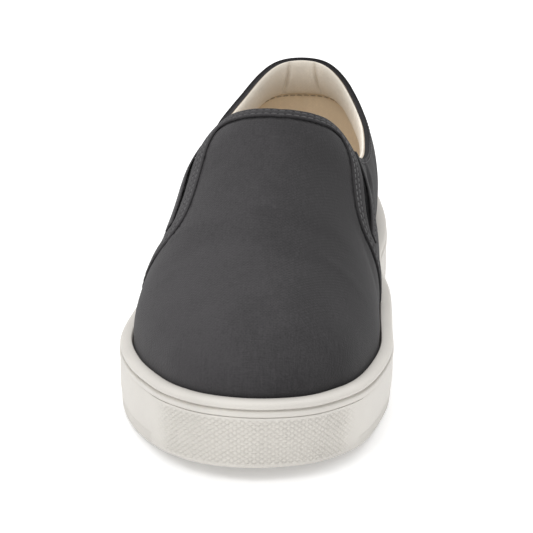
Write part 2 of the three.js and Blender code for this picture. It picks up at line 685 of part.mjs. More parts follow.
// Padded collar: a soft roll inside the quarters, thickest at its middle
function collarPad() {
  const half = SIDE_RIBS.filter((rib) => rib > PAD_START);
  const ribs = [...half, ...half.slice(0, -1).reverse().map((r) => 2 - r)];
  const steps = range(0, 1, FACETS.pad);
  const roundness = 0.7;
  const seat = -(UPPER_WALL + CLEARANCE);
  const columns = ribs.map((rib) => {
    const side = wrap(rib);
    const top = topEdge(side);
    const lengthPerUp = last(side, top).distanceTo(last(side, top - STEP)) / STEP;
    const low = top - PAD_DEPTH / lengthPerUp;
    const back = steps.map((t) => offSurface(side, THREE.MathUtils.lerp(low, top, t), seat));
    const front = steps.map((t) => {
      const swell = PAD_EDGE + (PAD_THICKNESS - PAD_EDGE) * Math.sin(Math.PI * t) ** roundness;
      return offSurface(side, THREE.MathUtils.lerp(low, top, t), seat - swell);
    });
    return { back, front };
  });
  const skin = new Skin();
  const m = steps.length - 1;
  for (let i = 0; i < columns.length - 1; i += 1) {
    const a = columns[i];
    const b = columns[i + 1];
    skin.strip(b.back, a.back);
    skin.strip(a.front, b.front);
    skin.quad(a.back[0], a.front[0], b.front[0], b.back[0]);
    skin.quad(a.back[m], b.back[m], b.front[m], a.front[m]);
  }
  skin.strip(columns[0].back, columns[0].front);
  skin.strip(columns.at(-1).front, columns.at(-1).back);
  return skin.geometry();
}

const canvas = new THREE.MeshStandardMaterial({ color: 0x484749, roughness: 0.9, metalness: 0 });
const elastic = new THREE.MeshStandardMaterial({ color: 0x1b1b1c, roughness: 0.8, metalness: 0 });
const rubber = new THREE.MeshStandardMaterial({ color: 0xe1ded6, roughness: 0.55, metalness: 0 });
const lining = new THREE.MeshStandardMaterial({ color: 0xd5cbb8, roughness: 0.95, metalness: 0 });
const footbed = new THREE.MeshStandardMaterial({ color: 0xa58e6e, roughness: 0.95, metalness: 0 });

const sneaker = new THREE.Group();

function add(name, geometry, material) {
  const mesh = new THREE.Mesh(geometry, material);
  mesh.name = name;
  sneaker.add(mesh);
}

add('outsole', outsole(), rubber);
add('cup_sole', cupSole(), rubber);
add('toe_bumper', toeBumper(), rubber);
add('upper', upper(), canvas);
add('insole', insole(), footbed);
add('vamp_band', vampBand(), canvas);
for (const side of Object.keys(SIDES)) {
  add(`gore_${side}`, gore(side), elastic);
  add(`quarter_strip_${side}`, quarterStrip(side), canvas);
}
add('collar_pad', collarPad(), lining);

export default sneaker;
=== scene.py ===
import math

import bmesh
import bpy
import numpy as np
from bpy.props import FloatProperty, FloatVectorProperty, IntProperty, PointerProperty
from bpy.types import Operator, Panel, PropertyGroup
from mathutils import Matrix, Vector


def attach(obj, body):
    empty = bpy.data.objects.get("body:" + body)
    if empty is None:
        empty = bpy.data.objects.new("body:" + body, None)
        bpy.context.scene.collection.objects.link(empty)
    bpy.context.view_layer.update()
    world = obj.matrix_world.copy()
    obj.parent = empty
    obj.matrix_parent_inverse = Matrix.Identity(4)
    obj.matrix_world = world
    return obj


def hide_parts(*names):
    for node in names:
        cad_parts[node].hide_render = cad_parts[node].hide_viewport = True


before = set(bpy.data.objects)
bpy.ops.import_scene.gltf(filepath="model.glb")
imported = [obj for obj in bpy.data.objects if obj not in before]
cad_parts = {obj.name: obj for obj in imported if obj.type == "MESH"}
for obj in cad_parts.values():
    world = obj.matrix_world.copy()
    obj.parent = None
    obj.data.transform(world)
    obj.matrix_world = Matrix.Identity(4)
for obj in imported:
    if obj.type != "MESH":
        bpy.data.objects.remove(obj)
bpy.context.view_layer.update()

bl_info = {
    "name": "Canvas slip-on sneaker",
    "version": (1, 0, 0),
    "blender": (4, 5, 0),
    "location": "View3D > Sidebar > Sneaker",
    "description": "Upper, gores, padded collar and rubber sole of a canvas slip-on, over its packed frame",
    "category": "Object",
}

MM = 0.001


# Sizes and colours


def length(name, mm, description):
    return FloatProperty(name=name, default=mm * MM, unit="LENGTH", description=description)


def colour(name, red, green, blue, description):
    return FloatVectorProperty(name=name, default=(red, green, blue), subtype="COLOR", min=0, max=1,
                               description=description)


class SneakerSizes(PropertyGroup):
    last_length: length("Last length", 288, "Feather line from heel to toe")
    ball_width: length("Ball width", 98, "Feather line across the ball")
    heel_width: length("Heel width", 70, "Feather line across the heel")
    instep_height: length("Instep height", 99.8, "Top of the vamp above the floor")
    collar_height: length("Collar height", 80, "Crown over the heel that the quarters aim at")
    toe_spring: length("Toe spring", 6, "Lift of the sole at the toe")
    arch_rise: length("Arch rise", 1.5, "Lift of the outsole under the waist")
    wall: length("Upper wall", 2, "Canvas and lining together")
    side_height: length("Side wall height", 27.9, "Sole's wall above the floor")
    side_thickness: length("Side wall thickness", 5.5, "Sole's wall outside the feather line")
    cup_floor: length("Cup floor height", 13, "Inside of the sole above the floor")
    outsole: length("Outsole thickness", 5, "Tread layer")
    insole: length("Insole thickness", 4, "Footbed")
    insole_dish: length("Insole dish", 1, "Depth of the footbed's hollow")
    bumper: length("Toe bumper thickness", 1.2, "Strip round the toe")
    hatch_width: length("Diamond width", 2.96, "From one diamond of the toe bumper to the next along its row")
    hatch_pitch: length("Diamond height", 2.1, "From one row of diamonds to the next but one")
    hatch_height: length("Bumper relief", 0.8, "Height of the diamonds of the toe bumper")
    band_width: length("Band width", 8, "Band round the vamp's edge")
    strip_width: length("Quarter strip width", 5, "Folded front edge of the quarters")
    overlay: length("Overlay thickness", 0.9, "Band and strips")
    gore: length("Gore thickness", 1.1, "Elastic panels")
    pad_depth: length("Collar pad depth", 17, "Padded collar below its edge")
    pad_thickness: length("Collar pad thickness", 5, "Padded collar at its thickest")
    tread_pitch: length("Tread pitch", 9.5, "Distance between the grooves under the sole")
    tread_groove: length("Tread groove", 3, "Width of the grooves under the sole")
    tread_depth: length("Tread depth", 1.8, "Depth of the grooves under the sole")
    tread_border: length("Tread border", 10, "Plain edge round the grooves")
    stitch_length: length("Stitch length", 2.4, "One stitch")
    stitch_pitch: length("Stitch pitch", 3.1, "From one stitch to the next")
    thread: length("Thread", 0.55, "Thickness of the sewing thread")


class SneakerColours(PropertyGroup):
    canvas: colour("Canvas", 0.035, 0.0332, 0.035, "Dark grey cotton")
    thread: colour("Thread", 0.088, 0.086, 0.088, "Sewing thread of the upper")
    elastic: colour("Elastic", 0.0045, 0.0045, 0.005, "Gore webbing")
    rubber: colour("Rubber", 0.63, 0.604, 0.562, "Sole and toe bumper")
    collar: colour("Collar lining", 0.91, 0.84, 0.735, "Cream cotton of the padded collar")
    lining: colour("Heel lining", 0.86, 0.71, 0.52, "Tan lining and footbed")
    floor: colour("Floor", 0.92, 0.92, 0.92, "Plain floor")
    weave: IntProperty(name="Threads", default=12, min=4, max=30, description="Canvas threads per centimetre")


# Shape of the last: short tables of shares, as in the part's own source


def table(names, *rows):
    """Rows with named columns, as one array per column."""
    return dict(zip(names.split(), np.array(rows, float).T))


MEDIAL_EDGE = table(
    "rib along ball heel",
    (0.045, 0.983, 0.166, 0),
    (0.09, 0.945, 0.275, 0),
    (0.14, 0.9, 0.35, 0),
    (0.2, 0.83, 0.403, 0),
    (0.27, 0.747, 0.433, 0),
    (0.36, 0.642, 0.421, 0),
    (0.48, 0.52, 0.3, 0.14),
    (0.6, 0.4, 0.18, 0.23),
    (0.72, 0.278, 0.08, 0.39),
    (0.82, 0.163, 0, 0.468),
    (0.9, 0.055, 0, 0.37),
    (0.95, 0.012, 0, 0.21),
)
LATERAL_EDGE = table(
    "rib along ball heel",
    (0.045, 0.986, 0.186, 0),
    (0.09, 0.95, 0.315, 0),
    (0.14, 0.905, 0.402, 0),
    (0.2, 0.83, 0.5, 0),
    (0.27, 0.736, 0.56, 0),
    (0.36, 0.625, 0.539, 0),
    (0.48, 0.503, 0.38, 0.13),
    (0.6, 0.38, 0.25, 0.258),
    (0.72, 0.267, 0.1, 0.41),
    (0.82, 0.156, 0, 0.505),
    (0.9, 0.055, 0, 0.38),
    (0.95, 0.012, 0, 0.215),
)
TOE_TIP_BALL = -0.01
SPINE = table(
    "along instep collar",
    (0, 0, 1.24),
    (0.15, 0, 1.2),
    (0.25, 0, 1.13),
    (0.33, 0.3, 0.78),
    (0.4, 0.985, 0),
    (0.475, 1, 0),
    (0.56, 0.885, 0),
    (0.66, 0.783, 0),
    (0.76, 0.676, 0),
    (0.86, 0.603, 0),
    (1, 0.5, 0),
)
SPINE_PULL = 0.28
SPINE_LEAN = 0.4
SECTION = table(
    "rib fullness swell_mm",
    (0, 2.5, 1),
    (0.1, 2.45, 1),
    (0.2, 2.12, 0.6),
    (0.35, 2, 1),
    (0.5, 2.07, 2.9),
    (0.62, 2.06, 3.7),
    (0.8, 2.05, 3.8),
    (0.9, 2.2, 2.5),
    (1, 3.2, 2),
    (1.1, 2.2, 2.5),
)
TOP_EDGE = table(
    "rib medial lateral",
    (0.512, 1, 1),
    (0.518, 0.875, 0.875),
    (0.534, 0.742, 0.742),
    (0.558, 0.625, 0.625),
    (0.58, 0.54, 0.54),
    (0.6, 0.45, 0.45),
    (0.66, 0.405, 0.378),
    (0.75, 0.396, 0.365),
    (0.83, 0.398, 0.377),
    (0.88, 0.421, 0.409),
    (0.94, 0.474, 0.47),
    (1, 0.465, 0.465),
    (1.06, 0.474, 0.474),
)
BAND_PATH = {
    "medial": table(
        "place rib up front rear",
        (0, 0.498, 1, 0.12, 0.5),
        (0.1, 0.504, 0.875, 0.16, 0.5),
        (0.2, 0.518, 0.76, 0.26, 0.5),
        (0.3, 0.537, 0.665, 0.4, 0.5),
        (0.4, 0.545, 0.59, 0.5, 0.48),
        (0.5, 0.532, 0.53, 0.5, 0.44),
        (0.58, 0.505, 0.49, 0.5, 0.42),
        (0.66, 0.465, 0.465, 0.5, 0.42),
        (0.74, 0.428, 0.425, 0.5, 0.42),
        (0.82, 0.405, 0.36, 0.5, 0.44),
        (0.88, 0.404, 0.29, 0.5, 0.5),
        (0.94, 0.408, 0.17, 0.5, 0.5),
        (1, 0.411, 0.02, 0.5, 0.5),
    ),
    "lateral": table(
        "place rib up front rear",
        (0, 0.498, 1, 0.12, 0.5),
        (0.1, 0.504, 0.88, 0.16, 0.5),
        (0.2, 0.517, 0.77, 0.26, 0.5),
        (0.3, 0.535, 0.68, 0.4, 0.5),
        (0.4, 0.54, 0.615, 0.5, 0.48),
        (0.5, 0.525, 0.56, 0.5, 0.44),
        (0.58, 0.495, 0.525, 0.5, 0.42),
        (0.66, 0.45, 0.508, 0.5, 0.42),
        (0.74, 0.4, 0.502, 0.5, 0.42),
        (0.8, 0.366, 0.485, 0.5, 0.42),
        (0.86, 0.345, 0.43, 0.5, 0.46),
        (0.9, 0.341, 0.35, 0.5, 0.5),
        (0.95, 0.345, 0.2, 0.5, 0.5),
        (1, 0.35, 0.02, 0.5, 0.5),
    ),
}
GORE = {
    "medial": table(
        "place front_rib front_up rear_rib rear_up",
        (0, 0.56, 0.6, 0.594, 0.468),
        (0.2, 0.545, 0.538, 0.574, 0.435),
        (0.4, 0.512, 0.471, 0.543, 0.4),
        (0.6, 0.47, 0.433, 0.5, 0.368),
        (0.8, 0.435, 0.392, 0.456, 0.337),
        (1, 0.414, 0.35, 0.424, 0.316),
    ),
    "lateral": table(
        "place front_rib front_up rear_rib rear_up",
        (0, 0.558, 0.612, 0.594, 0.47),
        (0.2, 0.538, 0.556, 0.572, 0.45),
        (0.4, 0.502, 0.499, 0.535, 0.427),
        (0.6, 0.452, 0.476, 0.483, 0.413),
        (0.8, 0.403, 0.47, 0.431, 0.411),
        (1, 0.368, 0.455, 0.38, 0.42),
    ),
}
SIDES = {"medial": 1, "lateral": -1}
SIDEWALL = table(
    "level out",
    (0.19, 0.9),
    (0.3, 0.97),
    (0.5, 1),
    (0.7, 0.985),
    (0.764, 0.965),
    (0.772, 0.95),
    (0.782, 1.02),
    (0.8, 1.035),
    (0.83, 1.03),
    (0.848, 0.97),
    (0.858, 0.82),
    (0.868, 0.78),
    (0.88, 0.9),
    (0.9, 0.985),
    (0.93, 0.98),
    (0.958, 0.88),
    (0.978, 0.66),
    (0.988, 0.4),
    (0.99, 0.16),
)
OUTSOLE_EDGE = table(
    "mm out",
    (0, 0.7),
    (0.08, 0.77),
    (0.3, 0.82),
    (0.8, 0.85),
    (2, 0.87),
    (4.9, 0.9),
    (5, 0.895),
)
# The footbed's rings: distance outwards, and height in shares of its thickness and of its dish's depth
FOOTBED = table(
    "out_mm thick dish",
    (0, 0, 0),
    (0, 0.8, 0),
    (-0.3, 0.925, 0),
    (-0.9, 1, 0),
    (-2.5, 1, 0.1),
    (-7, 1, 1),
    (-9, 1, 1.1),
)
TUCK = 1.8 * MM
TUCK_TOP = 0.75
WALL_INSIDE = 1 * MM
BUMPER_RIB = 0.135
BUMPER_TOP = 0.762
BUMPER_BOTTOM = 0.02
SPRING_START = 0.66
ARCH_START = 0.3
ARCH_END = 0.52
TREADS = ((0.07, 0.28), (0.54, 0.93))
BUMPER_TAPER = 0.024
BUMPER_SLACK = 0.1 * MM
GROOVE_SLOPE = 0.3 * MM
CLEARANCE = 0.3 * MM
SLOPE_STEP = 0.004
SPINE_BLEND = 0.94
WELD_GAP = 0.00001

# Sewn details
SEAM_PAST_BAND = 0.3 * MM
SEAM_DEPTH = 0.6 * MM
WINDOW_DEPTH = 2.2 * MM
COLLAR_START = 0.62
TAN_FROM = 0.03
GORE_CORDS = 62 / 1.4
COLLAR_ROW = 3.0 * MM
BAND_ROWS = (1.3 * MM, 3.5 * MM)
STRIP_ROW = 1.6 * MM
STRIP_THICKNESS = 0.7
STITCH_SUNK = 0.12 * MM
PLEAT_FROM_HEEL = 0.0245
PLEAT_SLANT = 0.009
PLEAT_WIDTH = 0.0034
PAD_CAP = 2.4 * MM

# Soft troughs and ridges of the canvas: the centre's rib and up, the heading in degrees from
# the foot's length, half length, half width and height
CREASES = table(
    "rib up heading long_mm wide_mm high_mm",
    (0.30, 0.80, 88, 34, 5.0, -0.35),
    (0.26, 0.62, 80, 24, 4.0, 0.3),
    (-0.27, 0.70, 95, 30, 5.0, -0.35),
    (-0.33, 0.45, 70, 20, 4.0, 0.3),
    (0.36, 0.30, 60, 17, 3.5, -0.4),
    (-0.40, 0.30, 110, 18, 3.5, -0.4),
    (0.60, 0.34, 74, 14, 2.4, -0.9),
    (0.585, 0.28, 70, 15, 2.2, 0.7),
    (0.63, 0.25, 62, 13, 2.4, -0.8),
    (0.655, 0.33, 80, 12, 2.2, 0.5),
    (0.66, 0.22, 100, 16, 4.0, 0.4),
    (-0.55, 0.30, 118, 14, 2.8, -0.6),
    (-0.60, 0.26, 112, 13, 2.6, 0.5),
    (0.74, 0.20, 84, 18, 4.0, -0.4),
    (-0.76, 0.22, 96, 18, 4.0, -0.4),
    (0.90, 0.24, 92, 12, 3.5, 0.3),
    (-0.88, 0.22, 88, 12, 3.5, -0.3),
)


def through(rows, key, column, x):
    """Smooth curve through a table's rows: a cubic between each two rows, with the slope at a row taken from
    its two neighbours."""
    xs, ys = rows[key], rows[column]
    x = np.clip(x, xs[0], xs[-1])
    i = np.clip(np.searchsorted(xs, x) - 1, 0, len(xs) - 2)
    slope = np.empty(len(xs))
    slope[1:-1] = (ys[2:] - ys[:-2]) / (xs[2:] - xs[:-2])
    slope[0] = (ys[1] - ys[0]) / (xs[1] - xs[0])
    slope[-1] = (ys[-1] - ys[-2]) / (xs[-1] - xs[-2])
    span = xs[i + 1] - xs[i]
    t = (x - xs[i]) / span
    rise = ys[i + 1] - ys[i]
    a, b = slope[i] * span, slope[i + 1] * span
    return ys[i] + t * (a + t * (3 * rise - 2 * a - b + t * (a + b - 2 * rise)))


def unit(v):
    """The same directions, one long."""
    return v / np.linalg.norm(v, axis=-1, keepdims=True)


def ease(x, low, high):
    """0 below low, 1 above high, and a smooth step between."""
    t = np.clip((x - low) / (high - low), 0, 1)
    return t * t * (3 - 2 * t)


def bell(x, wide):
    """1 at zero, falling to a third at the given distance and to nothing beyond."""
    return np.exp(-(x / wide) ** 2)


class Last:
    """The surface of the upper. rib runs from 0 at the toe to 1 at the heel, positive on the medial side, and
    up from 0 on the feather line to 1 on the spine, then on down the other side. Each rib is an arch of a
    superellipse from its place on the feather line inwards to its place on the spine."""

    def __init__(self, sizes):
        """The feather line as one table from heel to heel: lateral rows, toe tip, medial rows, with one row of the
        other side past each end."""
        self.sizes = sizes
        medial, lateral = MEDIAL_EDGE, LATERAL_EDGE
        inner, outer = [edge["ball"] * sizes.ball_width + edge["heel"] * sizes.heel_width
                        for edge in (medial, lateral)]
        self.edge_table = {
            "rib": np.r_[medial["rib"][-1] - 2, -1, -lateral["rib"][::-1], 0,
                         medial["rib"], 1, 2 - lateral["rib"][-1]],
            "along": np.r_[medial["along"][-1], 0, lateral["along"][::-1], 1,
                           medial["along"], 0, lateral["along"][-1]],
            "across": np.r_[inner[-1], 0, -outer[::-1], TOE_TIP_BALL * sizes.ball_width,
                            inner, 0, -outer[-1]],
        }
        across = self.edge_table["across"]
        self.centre = (-across.min() - across.max()) / 2
        self.throat = TOP_EDGE["rib"][0]

    def feather(self, rib):
        """Place on the feather line: across in metres and along as a share of the length from the heel."""
        rib = rib - 2 * np.round(rib / 2)
        return [through(self.edge_table, "rib", column, rib) for column in ("across", "along")]

    def plan(self, across, along):
        """x and y of a place, with the origin under the shoe's middle."""
        return across + self.centre, (0.5 - along) * self.sizes.last_length

    def outline(self, rib, out):
        """Feather line moved outwards in plan: the point plus its distance times the line's normal."""
        at = [np.stack(self.plan(*self.feather(rib + d)), -1) for d in (-SLOPE_STEP, 0, SLOPE_STEP)]
        tangent = unit(at[2] - at[0])
        return at[1] + np.stack([tangent[..., 1], -tangent[..., 0]], -1) * np.asarray(out)[..., None]

    def toe_rise(self, along):
        """Toe spring: a parabola from where it starts to the tip."""
        return self.sizes.toe_spring * np.maximum(0, (along - SPRING_START) / (1 - SPRING_START)) ** 2

    def rise(self, along):
        """Underside above the floor: the toe spring and a squared sine under the waist."""
        arch = np.clip((along - ARCH_START) / (ARCH_END - ARCH_START), 0, 1)
        return self.toe_rise(along) + self.sizes.arch_rise * np.sin(np.pi * arch) ** 2

    def point(self, rib, up):
        """Place on the surface. An angle of a quarter turn gives the share of the way inwards and upwards, each a
        cosine or sine to the power of two over the fullness, and the swell bulges the arch outwards between its
        ends. The crown at the spine is read from its table at the place reached along the foot."""
        rib, up = np.broadcast_arrays(np.asarray(rib, float), np.asarray(up, float))
        over = up > 1
        rib = np.where(over, -rib, rib)
        rib = rib - 2 * np.round(rib / 2)
        up = np.where(over, 2 - up, up)
        side = np.abs(rib)
        across, along = self.feather(rib)
        other = self.feather(-rib)
        reach = along + other[1] - 1
        top_across = SPINE_LEAN * (across + other[0]) / 2
        top_along = 0.5 + 0.5 * reach * (1 - SPINE_PULL * reach * reach)
        exponent = 2 / through(SECTION, "rib", "fullness", side)
        angle = np.clip(up, 0, 1) * np.pi / 2
        high = np.where(up >= 1, 1, np.sin(angle) ** exponent)
        arch = np.hypot(top_across - across, (top_along - along) * self.sizes.last_length)
        swell = through(SECTION, "rib", "swell_mm", side) * MM / arch * np.sin(np.pi * high)
        inwards = np.where(up >= 1, 1, 1 - np.maximum(np.cos(angle), 0) ** exponent - swell)
        here = along + (top_along - along) * inwards
        x, y = self.plan(across + (top_across - across) * inwards, here)
        base = self.sizes.side_height + self.toe_rise(along)
        crown = through(SPINE, "along", "instep", here) * self.sizes.instep_height
        crown = crown + through(SPINE, "along", "collar", here) * self.sizes.collar_height
        return np.stack([x, y, base + (crown - base) * high], -1)

    def normal(self, rib, up):
        """Outward normal: the cross product of the steps along the two parameters, shared by both sides near the
        spine."""
        rib, up = np.broadcast_arrays(np.asarray(rib, float), np.asarray(up, float))
        over = up > 1
        rib, up = np.where(over, -rib, rib), np.where(over, 2 - up, up)

        def side_normal(r):
            level = np.clip(up, SLOPE_STEP, 0.985)
            sideways = self.point(r + SLOPE_STEP, level) - self.point(r - SLOPE_STEP, level)
            upwards = self.point(r, level + SLOPE_STEP) - self.point(r, level - SLOPE_STEP)
            return unit(np.cross(sideways, upwards))

        blend = (np.clip((up - SPINE_BLEND) / (1 - SPINE_BLEND), 0, 1) / 2)[..., None]
        return unit(side_normal(rib) * (1 - blend) + side_normal(-rib) * blend)

    def off(self, rib, up, out):
        """Point at a distance off the surface, outwards positive."""
        return self.point(rib, up) + self.normal(rib, up) * np.asarray(out)[..., None]

    def top(self, rib):
        """Where each rib ends: the spine in front of the throat, and the top edge behind it."""
        rib = rib - 2 * np.round(rib / 2)
        side = np.abs(rib)
        medial, lateral = [through(TOP_EDGE, "rib", name, side) for name in SIDES]
        return np.where(side <= self.throat, 1, np.where(rib > 0, medial, lateral))

    def directions(self, rib, up):
        """Steps of the surface along rib and along up, per unit of each."""
        step = 0.003
        along = (self.point(rib + step, up) - self.point(rib - step, up)) / (2 * step)
        upwards = (self.point(rib, up + step) - self.point(rib, up - step)) / (2 * step)
        return along, upwards

    def per_up(self, rib, up):
        """Metres of surface for each unit of up, measured just below a place."""
        return np.linalg.norm(self.point(rib, up) - self.point(rib, up - 0.1), axis=1) / 0.1

    def beside(self, rib, up, distance):
        """Places at a distance to the left of a path on the surface: the sideways step is solved in the surface's
        own two directions, so that distances hold wherever the ribs fan out."""
        along, upwards = self.directions(rib, up)
        ahead = unit(along * np.gradient(rib)[:, None] + upwards * np.gradient(up)[:, None])
        sideways = np.cross(unit(np.cross(along, upwards)), ahead)
        e, f, g = (along * along).sum(-1), (along * upwards).sum(-1), (upwards * upwards).sum(-1)
        a, b = (sideways * along).sum(-1), (sideways * upwards).sum(-1)
        det = e * g - f * f
        step_rib, step_up = (a * g - b * f) / det, (b * e - a * f) / det
        return rib[:, None] + step_rib[:, None] * distance, up[:, None] + step_up[:, None] * distance

    def evenly(self, step, rib, up, *more):
        """The same path, and anything else known along it, with places at equal distances on the surface."""
        run = np.r_[0, np.cumsum(np.linalg.norm(np.diff(self.point(rib, up), axis=0), axis=1))]
        marks = np.linspace(0, run[-1], max(int(round(run[-1] / step)), 2) + 1)
        return [np.interp(marks, run, column) for column in (rib, up, *more)]


def band_path(last, step):
    """Band from the medial feather line over the instep to the lateral one: its places and the distances from
    them to its rear edge, below zero, and to its front edge."""
    places = np.linspace(0, 1, 120)
    columns = []
    for column in ("rib", "up", "rear", "front"):
        medial, lateral = [through(BAND_PATH[side], "place", column, places) for side in SIDES]
        columns.append(np.r_[medial[::-1], 2 - lateral[1:] if column == "up" else lateral[1:]])
    rib, up, rear, front = columns
    width = last.sizes.band_width
    return last.evenly(step, rib, up, -rear * width, front * width)


def quarter_edge(last, side, step, start, end):
    """Front edge of a quarter, behind its gore, between two shares of its length. It runs downwards on the medial
    side and upwards on the lateral one, so that the quarter lies to its left."""
    places = np.linspace(start, end, 80)
    rib = SIDES[side] * through(GORE[side], "place", "rear_rib", places)
    path = last.evenly(step, rib, through(GORE[side], "place", "rear_up", places))
    return [column[::SIDES[side]] for column in path]


def collar_edge(last, count):
    """Top edge as one line from the spine down the medial side, round the heel and up the lateral side: its
    points, ribs and levels."""
    half = np.linspace(last.throat, 1, count)
    rib = np.r_[half, -half[::-1][1:]]
    up = last.top(rib)
    return last.point(rib, up), rib, up


def round_heel(start, count):
    """Ribs from a start on the medial side round the heel to the same place on the lateral side, as one rise."""
    half = np.linspace(start, 1, count)
    return np.r_[half, 2 - half[::-1][1:]]


# Meshes


def mesh_object(name, points, faces, slots=None):
    """Smooth object from points and four-cornered faces given as arrays, with a material slot for each face."""
    mesh = bpy.data.meshes.new(name)
    mesh.vertices.add(len(points))
    mesh.vertices.foreach_set("co", np.ascontiguousarray(points, np.float32).ravel())
    mesh.loops.add(faces.size)
    mesh.loops.foreach_set("vertex_index", faces.ravel().astype(np.int32))
    mesh.polygons.add(len(faces))
    mesh.polygons.foreach_set("loop_start", np.arange(0, faces.size, faces.shape[1], dtype=np.int32))
    mesh.polygons.foreach_set("use_smooth", np.ones(len(faces), bool))
    if slots is not None:
        mesh.polygons.foreach_set("material_index", slots.astype(np.int32))
    mesh.update(calc_edges=True)
    piece = bpy.data.objects.new(name, mesh)
    bpy.context.collection.objects.link(piece)
    return piece


def grid_faces(rows, columns, closed_rows=False, closed_columns=False, first=0):
    """Quads of a grid of points that is stored row by row."""
    i = np.arange(rows if closed_rows else rows - 1)
    j = np.arange(columns if closed_columns else columns - 1)
    i, j = [a.ravel() for a in np.meshgrid(i, j, indexing="ij")]
    below, beside = (i + 1) % rows, (j + 1) % columns
    corners = [i * columns + j, i * columns + beside, below * columns + beside, below * columns + j]
    return first + np.stack(corners, 1)


def joined(name, grids):
    """One object from several grids of points: (points, closed_rows, closed_columns, slot, turned)."""
    points, faces, slots, first = [], [], [], 0
    for grid, closed_rows, closed_columns, slot, turned in grids:
        quads = grid_faces(*grid.shape[:2], closed_rows, closed_columns, first)
        faces.append(quads[:, ::-1] if turned else quads)
        slots.append(np.full(len(quads), slot))
        points.append(grid.reshape(-1, 3))
        first += len(points[-1])
    return mesh_object(name, np.concatenate(points), np.concatenate(faces), np.concatenate(slots))


def weld(piece, outwards=False):
    """Joins corners that fall together, such as at poles and seams, and may turn all faces of a closed body
    outwards."""
    shape = bmesh.new()
    shape.from_mesh(piece.data)
    bmesh.ops.remove_doubles(shape, verts=shape.verts, dist=WELD_GAP)
    if outwards:
        bmesh.ops.recalc_face_normals(shape, faces=shape.faces)
    shape.to_mesh(piece.data)
    shape.free()


def cap(section):
    """Two rows that close a section: the section itself and its middle."""
    return np.stack([section, np.broadcast_to(section.mean(0), section.shape)])


def tube(name, sections):
    """Closed body from sections that are carried along a path: a grid closed round each section, with end caps."""
    piece = joined(name, [
        (sections, False, True, 0, False),
        (cap(sections[0]), False, True, 0, True),
        (cap(sections[-1]), False, True, 0, False),
    ])
    weld(piece)
    return piece


def stitches(name, sizes, runs):
    """Rows of stitches as one mesh. Each run is a line of points with the surface's normals. A stitch is a
    six-sided spindle along the run: its radius is full over the middle and small at both ends."""
    points, faces, first = [], [], 0
    sides = 6
    t = np.array([-1, -0.72, 0, 0.72, 1])
    radius = np.array([0.25, 0.85, 1, 0.85, 0.25]) * sizes.thread / 2
    turn = np.arange(sides) * 2 * np.pi / sides
    corners = len(t) * sides
    end = np.array([[3, 2, 1, 0], [5, 4, 3, 0]])
    one = np.concatenate([grid_faces(len(t), sides, closed_columns=True), end, corners - sides + end[:, ::-1]])
    for line, normals in runs:
        run = np.r_[0, np.cumsum(np.linalg.norm(np.diff(line, axis=0), axis=1))]
        marks = np.arange(sizes.stitch_pitch / 2, run[-1], sizes.stitch_pitch)
        centre = np.stack([np.interp(marks, run, line[:, k]) for k in range(3)], 1)
        normal = unit(np.stack([np.interp(marks, run, normals[:, k]) for k in range(3)], 1))
        ahead = unit(np.stack([np.interp(marks, run, np.gradient(line[:, k])) for k in range(3)], 1))
        side = np.cross(normal, ahead)
        body = (centre[:, None, None] + ahead[:, None, None] * (t * sizes.stitch_length / 2)[None, :, None, None]
                + side[:, None, None] * (radius[:, None] * np.cos(turn))[None, :, :, None]
                + normal[:, None, None] * (radius[:, None] * np.sin(turn))[None, :, :, None])
        faces.append((first + np.arange(len(marks))[:, None, None] * corners + one).reshape(-1, 4))
        points.append(body.reshape(-1, 3))
        first += len(points[-1])
    return mesh_object(name, np.concatenate(points), np.concatenate(faces))


def finish_with(piece, body_slot, materials, *nodes):
    """Gives a piece its materials and its record slot, and says which CAD nodes it stands for."""
    for material in materials:
        piece.data.materials.append(material)
    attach(piece, "root")
    if nodes:
        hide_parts(*nodes)


# Materials


# Cosine and sine of the vamp's slope, and millimetres that give two threads' pitch when divided by threads per cm
VAMP_SLOPE = (0.94, 0.34)
THREAD_PAIR = 20.0


class Value:
    """An output of a node in a material, used in expressions: each operator adds a Math node."""

    def __init__(self, finish, socket):
        self.finish = finish
        self.socket = socket

    def math(self, operation, *others):
        node = self.finish.node("ShaderNodeMath", {"operation": operation}, dict(enumerate([self, *others])))
        return Value(self.finish, node.outputs[0])

    def __add__(self, other):
        return self.math("ADD", other)

    __radd__ = __add__

    def __mul__(self, other):
        return self.math("MULTIPLY", other)

    __rmul__ = __mul__

    def __sub__(self, other):
        return self.math("SUBTRACT", other)

    def __rsub__(self, other):
        return self * -1 + other

    def __truediv__(self, other):
        return self.math("DIVIDE", other)

    def __pow__(self, other):
        return self.math("POWER", other)

    def __abs__(self):
        return self.math("ABSOLUTE")

    def sin(self):
        return self.math("SINE")

    def ease(self, low, high):
        """0 below low, 1 above high, and a smooth step between."""
        settings = {"interpolation_type": "SMOOTHSTEP"}
        sockets = {"Value": self, "From Min": low, "From Max": high}
        return Value(self.finish, self.finish.node("ShaderNodeMapRange", settings, sockets).outputs[0])


